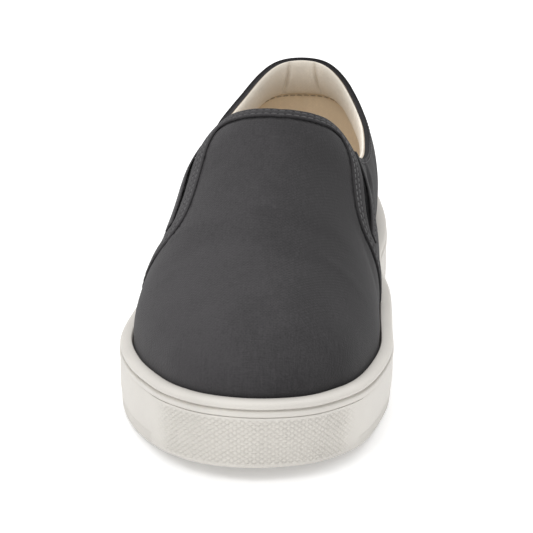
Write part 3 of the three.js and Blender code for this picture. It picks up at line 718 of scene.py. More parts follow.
class Finish:
    """A material and its node tree."""

    def __init__(self, name):
        self.material = bpy.data.materials.new(name)
        self.material.use_nodes = True
        self.tree = self.material.node_tree
        self.shader = self.tree.nodes["Principled BSDF"]

    def node(self, kind, settings=None, sockets=None):
        """Adds a node: its settings first, then the values or links of its sockets."""
        node = self.tree.nodes.new(kind)
        for key, value in (settings or {}).items():
            setattr(node, key, value)
        for key, value in (sockets or {}).items():
            self.feed(node.inputs[key], value)
        return node

    def feed(self, socket, value):
        """Links an output to a socket, or sets the socket's own number or colour."""
        if isinstance(value, Value):
            self.tree.links.new(value.socket, socket)
        elif isinstance(value, bpy.types.NodeSocket):
            self.tree.links.new(value, socket)
        else:
            socket.default_value = value

    def place(self):
        """Object coordinates in millimetres, as a vector and as its three numbers."""
        coordinates = self.node("ShaderNodeTexCoord").outputs["Object"]
        scaled = self.node("ShaderNodeVectorMath", {"operation": "SCALE"}, {0: coordinates, "Scale": 1000.0})
        split = self.node("ShaderNodeSeparateXYZ", None, {0: scaled.outputs[0]})
        return scaled.outputs[0], [Value(self, s) for s in split.outputs]

    def facing(self):
        """Share of the surface that faces each axis, adding up to one."""
        normal = self.node("ShaderNodeNewGeometry").outputs["Normal"]
        split = self.node("ShaderNodeSeparateXYZ", None, {0: normal})
        parts = [abs(Value(self, s)) ** 6 for s in split.outputs]
        total = parts[0] + parts[1] + parts[2]
        return [p / total for p in parts]

    def noise(self, vector, size_mm, detail=3.0, rough=0.55):
        """Noise from 0 to 1 with blobs of about the given size."""
        sockets = {"Vector": vector, "Scale": 1.0 / size_mm, "Detail": detail, "Roughness": rough}
        return Value(self, self.node("ShaderNodeTexNoise", None, sockets).outputs[0])

    def mixed(self, share, low, high):
        """Colour between two colours by a share."""
        sockets = {"Factor": share, 6: (*low, 1), 7: (*high, 1)}
        return self.node("ShaderNodeMix", {"data_type": "RGBA"}, sockets).outputs[2]

    def paint(self, colour_socket, rough, bump, bump_mm, **fixed):
        """Feeds the shader: colour, roughness, a bump of a height in millimetres, and numbers that don't vary."""
        self.feed(self.shader.inputs["Base Color"], colour_socket)
        self.feed(self.shader.inputs["Roughness"], rough)
        sockets = {"Height": bump, "Distance": bump_mm * MM, "Strength": 1.0}
        relief = self.node("ShaderNodeBump", None, sockets)
        self.feed(self.shader.inputs["Normal"], relief.outputs[0])
        for key, value in fixed.items():
            self.shader.inputs[key.replace("_", " ")].default_value = value
        return self.material


def shade(rgb, factor):
    """A colour made lighter or darker."""
    return tuple(min(c * factor, 1) for c in rgb)


def weave(finish, vector, place, pitch):
    """Plain weave, seen along each axis in turn: the product of two sines is a check of raised threads, and each
    face of the shoe takes the check that lies in it. The threads wander a little, and on top they follow the
    vamp's slope."""
    x, y, z = place
    wander = finish.noise(vector, 7) * (pitch * 2.4)
    rate = 2 * math.pi / pitch
    lengthways = y * VAMP_SLOPE[0] - z * VAMP_SLOPE[1]
    u = ((x + wander) * rate).sin()
    v = ((lengthways + wander) * rate).sin()
    w = ((z + wander) * rate).sin()
    s = ((y + wander) * rate).sin()
    fx, fy, fz = finish.facing()
    return (s * w) * fx + (u * w) * fy + (u * v) * fz


def fibres(finish, place, pitch):
    """Uneven yarns: two noises drawn out along the warp and along the weft, from 0 to 1."""
    x, y, z = place
    lengthways = y * VAMP_SLOPE[0] - z * VAMP_SLOPE[1]
    height = z * VAMP_SLOPE[0] + y * VAMP_SLOPE[1]
    thin, drawn = 0.5 * pitch, 5.0 * pitch
    yarns = []
    for across, along in ((thin, drawn), (drawn, thin)):
        stretched = finish.node("ShaderNodeCombineXYZ", None,
                                {0: x / across, 1: lengthways / along, 2: height / along})
        yarns.append(finish.noise(stretched.outputs[0], 1.0, 2.0))
    return (yarns[0] + yarns[1]) * 0.5


def woven(finish, threads):
    """What canvas and lining share: object coordinates, the check of the weave and the uneven yarns."""
    vector, place = finish.place()
    pitch = THREAD_PAIR / threads
    return vector, place, weave(finish, vector, place, pitch), fibres(finish, place, pitch * 0.6)


def canvas_finish(name, rgb, threads):
    """Cotton canvas: yarns of uneven dye and thickness, a faint weave, soft cloudy wear and a dry sheen. The nap
    lies so that the toe is lighter and the medial side and the top of the instep are darker."""
    finish = Finish(name)
    vector, (x, y, _), cloth, yarn = woven(finish, threads)
    fluff = finish.noise(vector, 0.8, 3.0)
    cloud = finish.noise(vector, 18, 3.0)
    # Painted shade: darker towards the medial side and from the instep back, lighter at the toe
    nap_and_painted_shade = x.ease(-30, 50) * -0.95 + y.ease(-120, -30) * -0.22 + 0.43
    tone = cloth * 0.05 + (yarn - 0.5) * 1.5 + (fluff - 0.5) * 0.6 + (cloud - 0.5) * 0.8 + nap_and_painted_shade + 0.5
    colour_out = finish.mixed(tone.ease(-0.2, 1.2), shade(rgb, 0.62), shade(rgb, 1.44))
    return finish.paint(colour_out, cloud * 0.12 + 0.82, cloth * 0.18 + yarn * 1.1 + fluff * 0.4, 0.2,
                        Specular_IOR_Level=0.25, Sheen_Weight=0.06, Sheen_Roughness=0.5)


def lining_finish(name, rgb, threads):
    """Brushed cotton lining: a fine weave under a soft nap, a little darker in its hollows and where the heel
    rubs."""
    finish = Finish(name)
    vector, place, cloth, yarn = woven(finish, threads)
    nap_and_painted_shade = finish.noise(vector, 2.2, 4.0)
    cloud = finish.noise(vector, 14, 3.0)
    # Painted shade: lining and footbed darken towards the back of the heel, deep inside the shoe
    heel_painted_shade = place[1].ease(85, 125) * 0.5
    tone = cloth * 0.05 + (yarn - 0.5) * 0.7 + (nap_and_painted_shade - 0.5) * 0.5 + (cloud - 0.5) * 0.7 + 0.6 - heel_painted_shade
    colour_out = finish.mixed(tone.ease(0, 1), shade(rgb, 0.72), shade(rgb, 1.06))
    return finish.paint(colour_out, 0.92, cloth * 0.2 + yarn * 0.6 + nap_and_painted_shade, 0.14,
                        Specular_IOR_Level=0.2, Sheen_Weight=0.15, Sheen_Roughness=0.5)


def elastic_finish(rgb):
    """Elastic webbing: fine cords beside each other, with a faint cross rib."""
    finish = Finish("elastic_webbing")
    vector, (_, y, z) = finish.place()
    cords = ((y * 0.9 + z * 0.45) * (2 * math.pi / 1.3)).sin()
    cross = ((z * 0.9 - y * 0.45) * (2 * math.pi / 0.7)).sin()
    tone = cords * 0.4 + finish.noise(vector, 1.5) * 0.6
    colour_out = finish.mixed(tone.ease(0, 1), shade(rgb, 0.6), shade(rgb, 2.0))
    return finish.paint(colour_out, 0.8, cords + cross * 0.3, 0.25, Specular_IOR_Level=0.08)


def rubber_finish(name, rgb, dull):
    """Vulcanised rubber: nearly even off-white, faint clouds, a fine skin and a little dust near the floor."""
    finish = Finish(name)
    vector, (_, _, z) = finish.place()
    cloud = finish.noise(vector, 22, 4.0)
    grain = finish.noise(vector, 0.9, 2.0)
    # Darker within 9 mm of the floor
    low = 1 - z.ease(0.0, 9.0)
    tone = cloud * 0.7 + grain * 0.2 - low * 0.25 + 0.1
    colour_out = finish.mixed(tone.ease(0, 1), shade(rgb, 0.88), shade(rgb, 1.04))
    return finish.paint(colour_out, cloud * 0.16 + dull, grain + cloud * 0.6, 0.05, Specular_IOR_Level=0.4)


def thread_finish(name, rgb):
    """Sewing thread: cotton whose dye varies from stitch to stitch."""
    finish = Finish(name)
    tone = finish.noise(finish.place()[0], 1.6, 2.0)
    return finish.paint(finish.mixed(tone, shade(rgb, 0.7), shade(rgb, 1.3)), 0.75, tone, 0.05)


def floor_finish(rgb):
    """Pale paper: nearly even, with a faint glow that keeps it white away from the lights."""
    finish = Finish("floor_paper")
    tone = finish.noise(finish.place()[0], 60, 2.0)
    return finish.paint(finish.mixed(tone, shade(rgb, 0.985), rgb), 0.9, tone, 0.01,
                        Emission_Color=(1, 1, 1, 1), Emission_Strength=0.22)


# Pieces


def canvas_relief(last, points, rib):
    """Height of the canvas off the last: long faint waves, creases as soft bells along their heading, a groove at
    the band's seam, the sunk window under each gore, and the fold and stitch line along the collar."""
    height = 0.00012 * np.sin(points[..., 0] / 0.013 + points[..., 1] / 0.031)
    height = height + 0.0001 * np.sin(points[..., 1] / 0.017 - points[..., 2] / 0.011)
    for k in range(len(CREASES["rib"])):
        crease = {key: column[k] for key, column in CREASES.items()}
        centre = last.point(crease["rib"], crease["up"])
        along, upwards = last.directions(np.array([crease["rib"]]), np.array([crease["up"]]))
        normal = unit(np.cross(along, upwards))[0]
        forward = unit(np.array([0, -1, 0]) - normal * -normal[1])
        turn = math.radians(crease["heading"])
        heading = forward * math.cos(turn) + np.cross(normal, forward) * math.sin(turn)
        apart = points - centre
        run = apart @ heading
        beside = np.linalg.norm(apart - run[..., None] * heading, axis=-1)
        soft = bell(run, crease["long_mm"] * MM) * bell(beside, crease["wide_mm"] * MM)
        height = height + crease["high_mm"] * MM * soft
    rib_at, up_at, _, front = band_path(last, 1 * MM)
    seam = last.point(*last.beside(rib_at, up_at, (front + SEAM_PAST_BAND)[:, None]))[:, 0]
    height = height - SEAM_DEPTH * bell(distance_to(points, seam), 0.6 * MM)
    for side, sign in SIDES.items():
        height = height - WINDOW_DEPTH * window_share(last, side, points) * (np.sign(rib) == sign)
    edge, _, _ = collar_edge(last, 260)
    near = distance_to(points, edge)
    fold = 0.25 * MM * bell(near - 1.0 * MM, 1.2 * MM)
    line = 0.3 * MM * bell(near - COLLAR_ROW, 0.5 * MM)
    return height + ease(np.abs(rib), COLLAR_START - 0.02, COLLAR_START + 0.01) * (fold - line)


def distance_to(points, line):
    """Distance from each point to a line of points, worked out only near the line's box, and in parts to save
    memory."""
    far, part = 20 * MM, 40
    flat = points.reshape(-1, 3)
    result = np.full(len(flat), far)
    near = np.all((flat > line.min(0) - far) & (flat < line.max(0) + far), axis=1)
    chosen = flat[near]
    best = np.full(len(chosen), far)
    for start in range(0, len(line), part):
        apart = chosen[:, None] - line[None, start:start + part]
        best = np.minimum(best, np.sqrt((apart ** 2).sum(-1)).min(1))
    result[near] = best
    return result.reshape(points.shape[:-1])


def window_share(last, side, points):
    """1 inside a gore's window and 0 outside, with a short soft edge: each point is measured against the nearest
    place of the window's middle line, along the line from the front edge to the rear edge."""
    places = np.linspace(0, 1, 60)
    front, rear = [last.point(SIDES[side] * through(GORE[side], "place", edge + "_rib", places),
                              through(GORE[side], "place", edge + "_up", places)) for edge in ("front", "rear")]
    flat = points.reshape(-1, 3)
    result = np.zeros(len(flat))
    margin = 4 * MM
    low = np.minimum(front.min(0), rear.min(0)) - margin
    high = np.maximum(front.max(0), rear.max(0)) + margin
    near = np.all((flat > low) & (flat < high), axis=1)
    chosen = flat[near]
    across = unit(rear - front)
    wide = np.linalg.norm(rear - front, axis=1)
    middle = (front + rear) / 2
    along = unit(np.gradient(middle, axis=0))
    apart = chosen[:, None] - middle[None]
    gap = np.abs((apart * along[None]).sum(-1)) + np.linalg.norm(apart, axis=-1) * 0.02
    nearest = gap.argmin(1)
    index = np.arange(len(chosen))
    from_middle = np.abs((apart[index, nearest] * across[nearest]).sum(-1))
    inside = 1 - ease(from_middle - wide[nearest] / 2, -0.9 * MM, 0.1 * MM)
    past_end = (apart[index, nearest] * along[nearest]).sum(-1)
    inside *= np.where(nearest == len(places) - 1, 1 - ease(past_end, -1 * MM, 0.5 * MM), 1)
    result[near] = inside
    return result.reshape(points.shape[:-1])


def make_upper(context):
    """Upper: the canvas outside and the lining a wall's thickness inside it, each carried straight down into the
    sole, a foot that joins them, and a half-round rim along the collar and throat."""
    sizes, colours = context.scene.sneaker_sizes, context.scene.sneaker_colours
    last = Last(sizes)
    half = np.r_[np.linspace(0, last.throat, 142), np.linspace(last.throat, 1, 180)[1:]]
    ribs = np.r_[-half[::-1][:-1], half]
    top = last.top(ribs)
    rolled = sizes.wall / 2 / last.per_up(ribs, top) * ease(np.abs(ribs), COLLAR_START - 0.06, COLLAR_START)
    up = np.linspace(0, 1, 70)[:, None] * (top - rolled)[None]
    rib = np.broadcast_to(ribs, up.shape)
    surface, normal = last.point(rib, up), last.normal(rib, up)

    def sheet(out, height):
        """Rows from the cup's floor straight up to the feather line, then over the last at a height off it."""
        foot = last.outline(ribs, np.full(len(ribs), out))
        lift = last.toe_rise(last.feather(ribs)[1])
        heights = np.linspace(sizes.cup_floor + CLEARANCE, sizes.side_height, 4)[:-1]
        flat = np.broadcast_to(foot[None], (len(heights), len(ribs), 2))
        skirt = np.concatenate([flat, (heights[:, None] + lift[None])[..., None]], -1)
        return np.concatenate([skirt, surface + normal * height[..., None]])

    height = canvas_relief(last, surface, rib) * ease(up, 0.0, 0.03)
    window = np.where(height < -1.2 * MM, height, 0)
    heel_seam = 0.35 * MM * bell(1 - np.abs(rib), 0.002)
    outer = sheet(0.0, height)
    inner = sheet(-sizes.wall, window + heel_seam - sizes.wall)
    number = np.arange(len(ribs))
    edge = np.r_[number[ribs >= last.throat - 1e-9], number[ribs <= 1e-9 - last.throat][1:]]
    outside, inside = outer[-1][edge], inner[-1][edge]
    ahead = unit(np.roll(outside, -1, 0) - np.roll(outside, 1, 0))
    bulge = unit(np.cross(unit(outside - inside), ahead))
    turn = np.linspace(0, np.pi, 9)[:, None, None]
    radius = np.linalg.norm(outside - inside, axis=1)[None, :, None] / 2
    middle, reach = (outside + inside)[None] / 2, (outside - inside)[None] / 2
    rim = middle + reach * np.cos(turn) - bulge[None] * radius * np.sin(turn)
    piece = joined("canvas_upper", [
        (outer, False, False, 0, False),
        (inner, False, False, 1, True),
        (np.stack([outer[0], inner[0]]), False, False, 0, True),
        (rim, False, True, 0, False),
    ])
    weld(piece)
    centres = np.empty(len(piece.data.polygons) * 3)
    piece.data.polygons.foreach_get("center", centres)
    slots = np.empty(len(piece.data.polygons), np.int32)
    piece.data.polygons.foreach_get("material_index", slots)
    tan = (slots == 1) & (centres.reshape(-1, 3)[:, 1] > TAN_FROM)
    piece.data.polygons.foreach_set("material_index", np.where(tan, 2, slots).astype(np.int32))
    finish_with(piece, "canvas", [
        canvas_finish("canvas", colours.canvas, colours.weave),
        lining_finish("vamp_lining", colours.collar, colours.weave),
        lining_finish("heel_lining", colours.lining, colours.weave),
    ], "upper")


def ribbon(name, last, rib, up, near, far, high, rows):
    """Flat strip along a path on the upper: its section is a rounded bar between two distances beside the path,
    with shallow grooves at the given distances in from its far edge, where it is stitched."""
    t = np.linspace(-1, 1, 34)
    near, far = [np.broadcast_to(edge, rib.shape)[:, None] for edge in (near, far)]
    across = near + (far - near) * (t + 1) / 2
    bar = np.sqrt(np.clip(1 - np.abs(t) ** 9, 0, 1))
    dips = sum(bell(far - across - row, 0.45 * MM) for row in rows)
    over = (high - dips * 0.25 * MM) * bar + 0.05 * MM
    distance = np.concatenate([across, across[:, -2:0:-1]], 1)
    heights = np.concatenate([over, np.full(across[:, 1:-1].shape, 0.02 * MM)], 1)
    place_rib, place_up = last.beside(rib, up, distance)
    sections = last.off(place_rib, place_up, heights)
    return tube(name, sections[:, ::-1])


def make_band(context):
    """Band round the vamp's edge, and the folded front edge of each quarter."""
    sizes, colours = context.scene.sneaker_sizes, context.scene.sneaker_colours
    last = Last(sizes)
    rib, up, rear, front = band_path(last, 1 * MM)
    piece = ribbon("vamp_band_canvas", last, rib, up, rear, front, sizes.overlay, BAND_ROWS)
    material = canvas_finish("band_canvas", shade(colours.canvas, 1.04), colours.weave)
    finish_with(piece, "canvas", [material], "vamp_band")
    for side in SIDES:
        rib, up = quarter_edge(last, side, 1 * MM, 0.03, 1)
        strip = ribbon("quarter_strip_" + side + "_canvas", last, rib, up, 0.1 * MM, sizes.strip_width,
                       sizes.overlay * STRIP_THICKNESS, [STRIP_ROW])
        finish_with(strip, "canvas", [material], "quarter_strip_" + side)


def make_gores(context):
    """Elastic panels: a grid between the front and rear edges of each gore, slightly arched and crossed by low
    ribs."""
    sizes, colours = context.scene.sneaker_sizes, context.scene.sneaker_colours
    last = Last(sizes)
    material = elastic_finish(colours.elastic)
    places = np.linspace(0.02, 0.985, 90)
    t = np.linspace(0.03, 0.97, 24)
    for side, sign in SIDES.items():
        front_rib, front_up, rear_rib, rear_up = [
            through(GORE[side], "place", key, places)[:, None] for key in GORE[side] if key != "place"]
        rib = sign * (front_rib + (rear_rib - front_rib) * t)
        up = front_up + (rear_up - front_up) * t
        cords = np.linspace(0, GORE_CORDS, len(places))[:, None]
        relief = 0.12 * MM * np.sin(2 * np.pi * cords) + 0.25 * MM * np.sin(np.pi * t)
        outer = last.off(rib, up, relief - 0.55 * MM)
        inner = last.off(rib, up, np.full(rib.shape, -0.4 * MM - sizes.gore))
        turned = sign > 0
        grids = [(outer, False, False, 0, turned), (inner, False, False, 0, not turned)]
        for k in (0, -1):
            grids.append((np.stack([outer[:, k], inner[:, k]], 1), False, False, 0, turned == (k == -1)))
            grids.append((np.stack([outer[k], inner[k]]), False, False, 0, turned == (k == 0)))
        piece = joined("elastic_gore_" + side, grids)
        weld(piece, outwards=True)
        finish_with(piece, "elastic", [material], "gore_" + side)


def make_collar_pad(context):
    """Padded collar: a slim roll inside the top edge, pinned along its back, its two edges and its pleats, and
    swelled by a cloth simulation. Each section is a half lens whose thickness is a power of a sine."""
    sizes, colours = context.scene.sneaker_sizes, context.scene.sneaker_colours
    last = Last(sizes)
    rib = round_heel(COLLAR_START + 0.002, 150)
    top = last.top(rib)
    low = top - sizes.pad_depth / last.per_up(rib, top)
    t = np.linspace(0, 1, 17)
    up = low[:, None] + (top - low)[:, None] * t
    ribs = np.broadcast_to(rib[:, None], up.shape)
    seat = -(sizes.wall + CLEARANCE)
    from_heel = np.abs(1 - rib)[:, None]
    pleat = bell(from_heel - PLEAT_FROM_HEEL - PLEAT_SLANT * (1 - t), PLEAT_WIDTH)
    lens = 0.7 * MM + 0.62 * sizes.pad_thickness * np.sin(np.pi * t) ** 0.6
    front = last.off(ribs, up, seat - lens[None] * (1 - 0.5 * pleat))
    back = last.off(ribs, up, np.full(up.shape, seat))
    piece = tube("collar_padding", np.concatenate([front, back[:, ::-1]], 1))
    weld(piece, outwards=True)
    loose = front[:, 2:-2][pleat[:, 2:-2] < 0.55]
    swell(piece, loose)
    smooth = piece.modifiers.new("Rounding", "SUBSURF")
    smooth.levels = smooth.render_levels = 1
    finish_with(piece, "lining", [lining_finish("collar_cotton", colours.collar, colours.weave)], "collar_pad")


def swell(piece, loose):
    """Blows the pad up with pressure and no gravity. All points but the loose ones are pinned, and none moves
    further than a cap."""
    mesh = piece.data
    before = np.empty(len(mesh.vertices) * 3)
    mesh.vertices.foreach_get("co", before)
    before = before.reshape(-1, 3)
    cells = np.round(np.concatenate([before, loose]) / WELD_GAP).astype(np.int64)
    number = np.unique(cells, axis=0, return_inverse=True)[1].ravel()
    held = ~np.isin(number[:len(before)], number[len(before):])
    group = piece.vertex_groups.new(name="sewn")
    group.add(np.flatnonzero(held).tolist(), 1.0, "REPLACE")
    cloth = piece.modifiers.new("Swell", "CLOTH")
    settings = cloth.settings
    settings.quality = 6
    settings.mass = 0.15
    settings.tension_stiffness = 8
    settings.compression_stiffness = 4
    settings.bending_stiffness = 0.2
    settings.use_pressure = True
    settings.uniform_pressure_force = 5
    settings.vertex_group_mass = "sewn"
    settings.effector_weights.gravity = 0
    cloth.collision_settings.use_collision = False
    scene = bpy.context.scene
    for number in range(1, 21):
        scene.frame_set(number)
    graph = bpy.context.evaluated_depsgraph_get()
    done = piece.evaluated_get(graph).to_mesh()
    after = np.empty(len(before) * 3)
    done.vertices.foreach_get("co", after)
    move = after.reshape(-1, 3) - before
    size = np.linalg.norm(move, axis=1, keepdims=True)
    move *= np.minimum(1, PAD_CAP / np.maximum(size, 1e-9))
    piece.modifiers.remove(cloth)
    piece.vertex_groups.remove(group)
    scene.frame_set(1)
    mesh.vertices.foreach_set("co", (before + move).ravel())
    mesh.update()


def tuck(last, ribs, height):
    """How far the wall leans in below its ridge, in a straight line, round the medial side of the toe."""
    round_toe = ease(ribs, -0.04, 0.05) * (1 - ease(ribs, 0.22, 0.34))
    return TUCK * round_toe * np.clip(1 - height / (TUCK_TOP * last.sizes.side_height), 0, 1)


def ring_points(last, ribs, out, height, rise):
    """One ring at a distance outside the feather line and a height above the sole's rise. A ring of the wall's
    outside leans in with the toe's tuck."""
    out = np.broadcast_to(out, ribs.shape)
    flat = last.outline(ribs, out - np.where(out > WALL_INSIDE, tuck(last, ribs, height), 0))
    return np.concatenate([flat, (height + rise(last.feather(ribs)[1]))[:, None]], 1)


def lid(ring, count):
    """Rows from a ring to the line down its middle: each point moves straight across towards its opposite."""
    other = ring[::-1]
    t = np.linspace(0, 0.5, count)[:, None, None]
    return ring[None] * (1 - t) + other[None] * t


def bumper_share(ribs):
    """1 behind the toe bumper and 0 beyond it: both the bumper and its recess taper out at the two ends."""
    return 1 - ease(np.abs(ribs), BUMPER_RIB - BUMPER_TAPER, BUMPER_RIB)


def make_cup(context):
    """Cup sole: the wall's profile is carried round the outline, and a flat floor closes it."""
    sizes, colours = context.scene.sneaker_sizes, context.scene.sneaker_colours
    last = Last(sizes)
    ribs = np.linspace(-1, 1, 721)
    row = np.arange(len(SIDEWALL["level"]))
    levels = np.interp(np.linspace(0, row[-1], 70), row, SIDEWALL["level"])
    covered = bumper_share(ribs)
    bottom = ring_points(last, ribs, SIDEWALL["out"][0] * sizes.side_thickness - covered * sizes.bumper,
                         sizes.outsole + 0.05 * MM, last.rise)
    rings = [bottom]
    for level, out in zip(levels, through(SIDEWALL, "level", "out", levels)):
        sunk = covered * (sizes.bumper + BUMPER_SLACK) * (1 - ease(level, BUMPER_TOP, BUMPER_TOP + 0.008))
        rings.append(ring_points(last, ribs, out * sizes.side_thickness - sunk, level * sizes.side_height,
                                 last.toe_rise))
    inside = ring_points(last, ribs, CLEARANCE, sizes.cup_floor, last.toe_rise)
    piece = joined("rubber_cup", [
        (np.stack([*rings, inside]), False, False, 0, False),
        (lid(inside, 6), False, False, 0, False),
        (lid(bottom, 6), False, False, 0, True),
    ])
    weld(piece, outwards=True)
    finish_with(piece, "rubber", [rubber_finish("cup_rubber", colours.rubber, 0.42)], "cup_sole")


def make_outsole(context):
    """Outsole: a rounded edge round the outline, and an underside whose straight grooves are cut by depth: a
    point of the underside rises by the groove's depth where it lies between a groove's two sides."""
    sizes, colours = context.scene.sneaker_sizes, context.scene.sneaker_colours
    last = Last(sizes)
    ribs = np.linspace(-1, 1, 1201)
    sunk = bumper_share(ribs) * (sizes.bumper + BUMPER_SLACK)
    edge = np.stack([
        ring_points(last, ribs, out * sizes.side_thickness - sunk, min(mm * MM, sizes.outsole), last.rise)
        for out, mm in zip(OUTSOLE_EDGE["out"], OUTSOLE_EDGE["mm"])])
    under = lid(edge[0], 60)
    inner = np.linspace(0, 1, len(under))[:, None] * np.linalg.norm(under[-1] - under[0], axis=1)
    cut = np.zeros(under.shape[:2])
    for start, end in TREADS:
        count = int((end - start) * sizes.last_length / sizes.tread_pitch)
        for k in range(count + 1):
            away = np.abs(under[..., 1] - (0.5 - start) * sizes.last_length + k * sizes.tread_pitch)
            groove = 1 - ease(away, sizes.tread_groove / 2 - GROOVE_SLOPE, sizes.tread_groove / 2)
            cut = np.maximum(cut, groove)
    cut *= ease(inner, sizes.tread_border, sizes.tread_border + 0.8 * MM)
    under[..., 2] += cut * sizes.tread_depth
    piece = joined("rubber_outsole", [
        (edge, False, False, 0, False),
        (under, False, False, 0, True),
        (lid(edge[-1], 6), False, False, 0, False),
    ])
    weld(piece, outwards=True)
    finish_with(piece, "rubber", [rubber_finish("outsole_rubber", shade(colours.rubber, 0.97), 0.5)], "outsole")


def make_bumper(context):
    """Toe bumper: a strip round the toe with raised diamonds. The relief is the product of two slanting waves,
    and it fades out towards the strip's ends, top and bottom."""
    sizes, colours = context.scene.sneaker_sizes, context.scene.sneaker_colours
    last = Last(sizes)
    ribs = np.linspace(-BUMPER_RIB, BUMPER_RIB, 400)
    line = last.outline(ribs, np.full(len(ribs), sizes.side_thickness))
    run = np.r_[0, np.cumsum(np.linalg.norm(np.diff(line, axis=0), axis=1))]
    marks = np.linspace(0, run[-1], 620)
    ribs = np.interp(marks, run, ribs)
    from_toe = marks - run[-1] / 2
    levels = np.linspace(BUMPER_BOTTOM, BUMPER_TOP, 90)[:, None]
    high = levels * sizes.side_height
    a, b = np.pi * from_toe / sizes.hatch_width, np.pi * high / sizes.hatch_pitch
    diamonds = np.abs(np.sin(a + b) * np.sin(a - b)) ** 0.62
    fade = ease(high, high[0] + 0.6 * MM, high[0] + 1.6 * MM)
    fade = fade * (1 - ease(high, high[-1] - 1.4 * MM, high[-1] - 0.5 * MM))
    fade = fade * (1 - ease(np.abs(from_toe), 36 * MM, 50 * MM))
    relief = sizes.hatch_height * (diamonds - 0.7) * fade
    sole_out = np.interp(high / MM, OUTSOLE_EDGE["mm"][:-1], OUTSOLE_EDGE["out"][:-1])
    wall_out = through(SIDEWALL, "level", "out", levels)
    base = np.where(levels < SIDEWALL["level"][0], sole_out, wall_out) * sizes.side_thickness
    base = base - tuck(last, ribs, high)
    inner = base[[-1, 0]] - sizes.bumper * bumper_share(ribs)
    flat = last.outline(ribs, np.concatenate([base + relief + 0.02 * MM, inner]))
    lift = last.toe_rise(last.feather(ribs)[1]) + high
    shell = np.concatenate([flat, np.concatenate([lift, lift[[-1, 0]]])[..., None]], -1)
    piece = joined("rubber_toe_bumper", [
        (shell, True, False, 0, False),
        (cap(shell[:, 0]), False, True, 0, False),
        (cap(shell[:, -1]), False, True, 0, True),
    ])
    weld(piece, outwards=True)
    finish_with(piece, "rubber", [rubber_finish("bumper_rubber", colours.rubber, 0.45)], "toe_bumper")


def make_insole(context):
    """Footbed: rings of the outline moved inwards, dished in the middle, with a soft rounded rim."""
    sizes, colours = context.scene.sneaker_sizes, context.scene.sneaker_colours
    last = Last(sizes)
    ribs = np.linspace(-1, 1, 361)
    heights = sizes.cup_floor + CLEARANCE + FOOTBED["thick"] * sizes.insole - FOOTBED["dish"] * sizes.insole_dish
    outs = FOOTBED["out_mm"] * MM - sizes.wall - CLEARANCE
    rings = np.stack([ring_points(last, ribs, out, height, last.toe_rise) for out, height in zip(outs, heights)])
    piece = joined("footbed_cloth", [
        (rings, False, False, 0, False),
        (lid(rings[-1], 24), False, False, 0, False),
        (lid(rings[0], 4), False, False, 0, True),
    ])
    weld(piece, outwards=True)
    finish_with(piece, "footbed", [lining_finish("footbed_twill", colours.lining, colours.weave)], "insole")


def thread_piece(name, body_slot, sizes, runs, rgb):
    """Rows of stitches in one thread, as one piece."""
    finish_with(stitches(name, sizes, runs), body_slot, [thread_finish(name, rgb)])


def make_stitches(context):
    """Sewing: two rows on the band, one on each quarter strip, one round the collar, one under the collar pad."""
    sizes, colours = context.scene.sneaker_sizes, context.scene.sneaker_colours
    last = Last(sizes)
    runs = []

    def row(rib, up, distance, out):
        """Adds a row at a distance to the left of a path and a height off the surface."""
        rib, up = [a[:, 0] for a in last.beside(rib, up, np.broadcast_to(distance, rib.shape)[:, None])]
        runs.append((last.off(rib, up, np.full(rib.shape, out)), last.normal(rib, up)))

    rib, up, _, front = band_path(last, 1 * MM)
    for inset in BAND_ROWS:
        row(rib, up, front - inset, sizes.overlay - STITCH_SUNK)
    for side in SIDES:
        rib, up = quarter_edge(last, side, 1 * MM, 0.06, 0.98)
        row(rib, up, sizes.strip_width - STRIP_ROW, sizes.overlay * STRIP_THICKNESS - STITCH_SUNK)
    _, rib, up = collar_edge(last, 200)
    lower = up - COLLAR_ROW / last.per_up(rib, up)
    behind = np.abs(rib) > COLLAR_START
    row(rib[behind], lower[behind], 0.0, 0.02 * MM)
    thread_piece("upper_stitching", "canvas", sizes, runs, colours.thread)
    rib = round_heel(COLLAR_START + 0.01, 120)
    top = last.top(rib)
    under = top - (sizes.pad_depth + 0.9 * MM) / last.per_up(rib, top)
    line = last.off(rib, under, np.full(rib.shape, -sizes.wall - 0.1 * MM))
    pad_row = [(line, -last.normal(rib, under))]
    thread_piece("lining_stitching", "lining", sizes, pad_row, shade(colours.lining, 0.42))


# Stage


CAMERA_PLACE = (0.0927, -1.3775, 0.5366)
CAMERA_TARGET = (-0.0005, 0.0, 0.0335)
CAMERA_LENS = 240.0
CAMERA_SENSOR = 36.0
FLOOR_HALF = 3.0
SKY_STRENGTH = 0.6
# Name, place, target, width and height in metres, and watts
SOFTBOXES = (
    ("key_softbox", (-0.95, -1.05, 1.8), (0, 0, 0.03), (1.2, 1.2), 16.5),
    ("fill_softbox", (0.9, -1.1, 1.4), (0, 0, 0.03), (1.2, 1.2), 6),
    ("top_softbox", (0, 0.7, 1.9), (0, 0, 0.05), (1.6, 1.2), 20),
)


def aim(thing, place, target):
    """Puts a light or the camera at a place and turns it to its target."""
    thing.location = place
    heading = Vector(target) - Vector(place)
    thing.rotation_euler = heading.to_track_quat("-Z", "Y").to_euler()


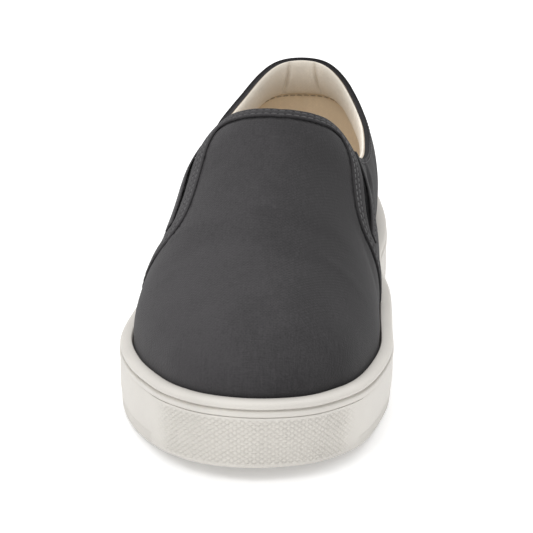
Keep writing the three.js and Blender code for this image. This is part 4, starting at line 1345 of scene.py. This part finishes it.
def make_stage(context):
    """Pale floor, soft lights and the camera."""
    scene = context.scene
    spread = np.linspace(-FLOOR_HALF, FLOOR_HALF, 3)
    x, y = np.meshgrid(spread, spread)
    ground = mesh_object("floor", np.stack([x, y, 0 * x], -1).reshape(-1, 3), grid_faces(3, 3))
    ground.data.materials.append(floor_finish(scene.sneaker_colours.floor))
    for name, place, target, size, watts in SOFTBOXES:
        light = bpy.data.lights.new(name, "AREA")
        light.shape = "RECTANGLE"
        light.size, light.size_y = size
        light.energy = watts
        lamp = bpy.data.objects.new(name, light)
        scene.collection.objects.link(lamp)
        aim(lamp, place, target)
    world = bpy.data.worlds.new("studio")
    world.use_nodes = True
    sky = world.node_tree.nodes["Background"].inputs
    sky["Color"].default_value = (1, 1, 1, 1)
    sky["Strength"].default_value = SKY_STRENGTH
    scene.world = world
    lens = bpy.data.cameras.new("camera")
    lens.lens = CAMERA_LENS
    lens.sensor_width = CAMERA_SENSOR
    lens.clip_start, lens.clip_end = 0.05, 20
    camera = bpy.data.objects.new("camera", lens)
    scene.collection.objects.link(camera)
    aim(camera, CAMERA_PLACE, CAMERA_TARGET)
    scene.camera = camera
    scene.view_settings.view_transform = "Standard"


# Operators and panel


def operator(suffix, label, text, make):
    """Operator that makes one piece, or one group of like pieces."""

    def execute(self, context):
        make(context)
        return {"FINISHED"}

    body = {"__doc__": text, "bl_idname": "sneaker." + suffix, "bl_label": label, "execute": execute}
    return type("SNEAKER_OT_" + suffix, (Operator,), body)


OPERATORS = [
    operator("stage", "Stage", "Make the floor, the lights and the camera", make_stage),
    operator("upper", "Upper", "Make the canvas upper with its lining", make_upper),
    operator("band", "Band and strips", "Make the band round the vamp and the quarter strips", make_band),
    operator("gores", "Gores", "Make the two elastic gores", make_gores),
    operator("collar", "Collar pad", "Make the padded collar", make_collar_pad),
    operator("insole", "Insole", "Make the footbed", make_insole),
    operator("cup", "Cup sole", "Make the sole's cup and wall", make_cup),
    operator("outsole", "Outsole", "Make the outsole with its tread", make_outsole),
    operator("bumper", "Toe bumper", "Make the toe bumper with its diamonds", make_bumper),
    operator("stitching", "Stitching", "Make the rows of stitches", make_stitches),
]


class SNEAKER_PT_pieces(Panel):
    """Lists the pieces of the shoe, its sizes and its colours"""
    bl_label = "Sneaker"
    bl_space_type = "VIEW_3D"
    bl_region_type = "UI"
    bl_category = "Sneaker"

    def draw(self, context):
        for one in OPERATORS:
            self.layout.operator(one.bl_idname)
        for group in (context.scene.sneaker_sizes, context.scene.sneaker_colours):
            for key in group.__annotations__:
                self.layout.prop(group, key)


CLASSES = [SneakerSizes, SneakerColours, *OPERATORS, SNEAKER_PT_pieces]


def register():
    for one in CLASSES:
        bpy.utils.register_class(one)
    bpy.types.Scene.sneaker_sizes = PointerProperty(type=SneakerSizes)
    bpy.types.Scene.sneaker_colours = PointerProperty(type=SneakerColours)


def unregister():
    del bpy.types.Scene.sneaker_colours
    del bpy.types.Scene.sneaker_sizes
    for one in reversed(CLASSES):
        bpy.utils.unregister_class(one)


def main():
    register()
    for one in OPERATORS:
        getattr(bpy.ops.sneaker, one.bl_idname.split(".")[1])()


if __name__ == "__main__":
    main()
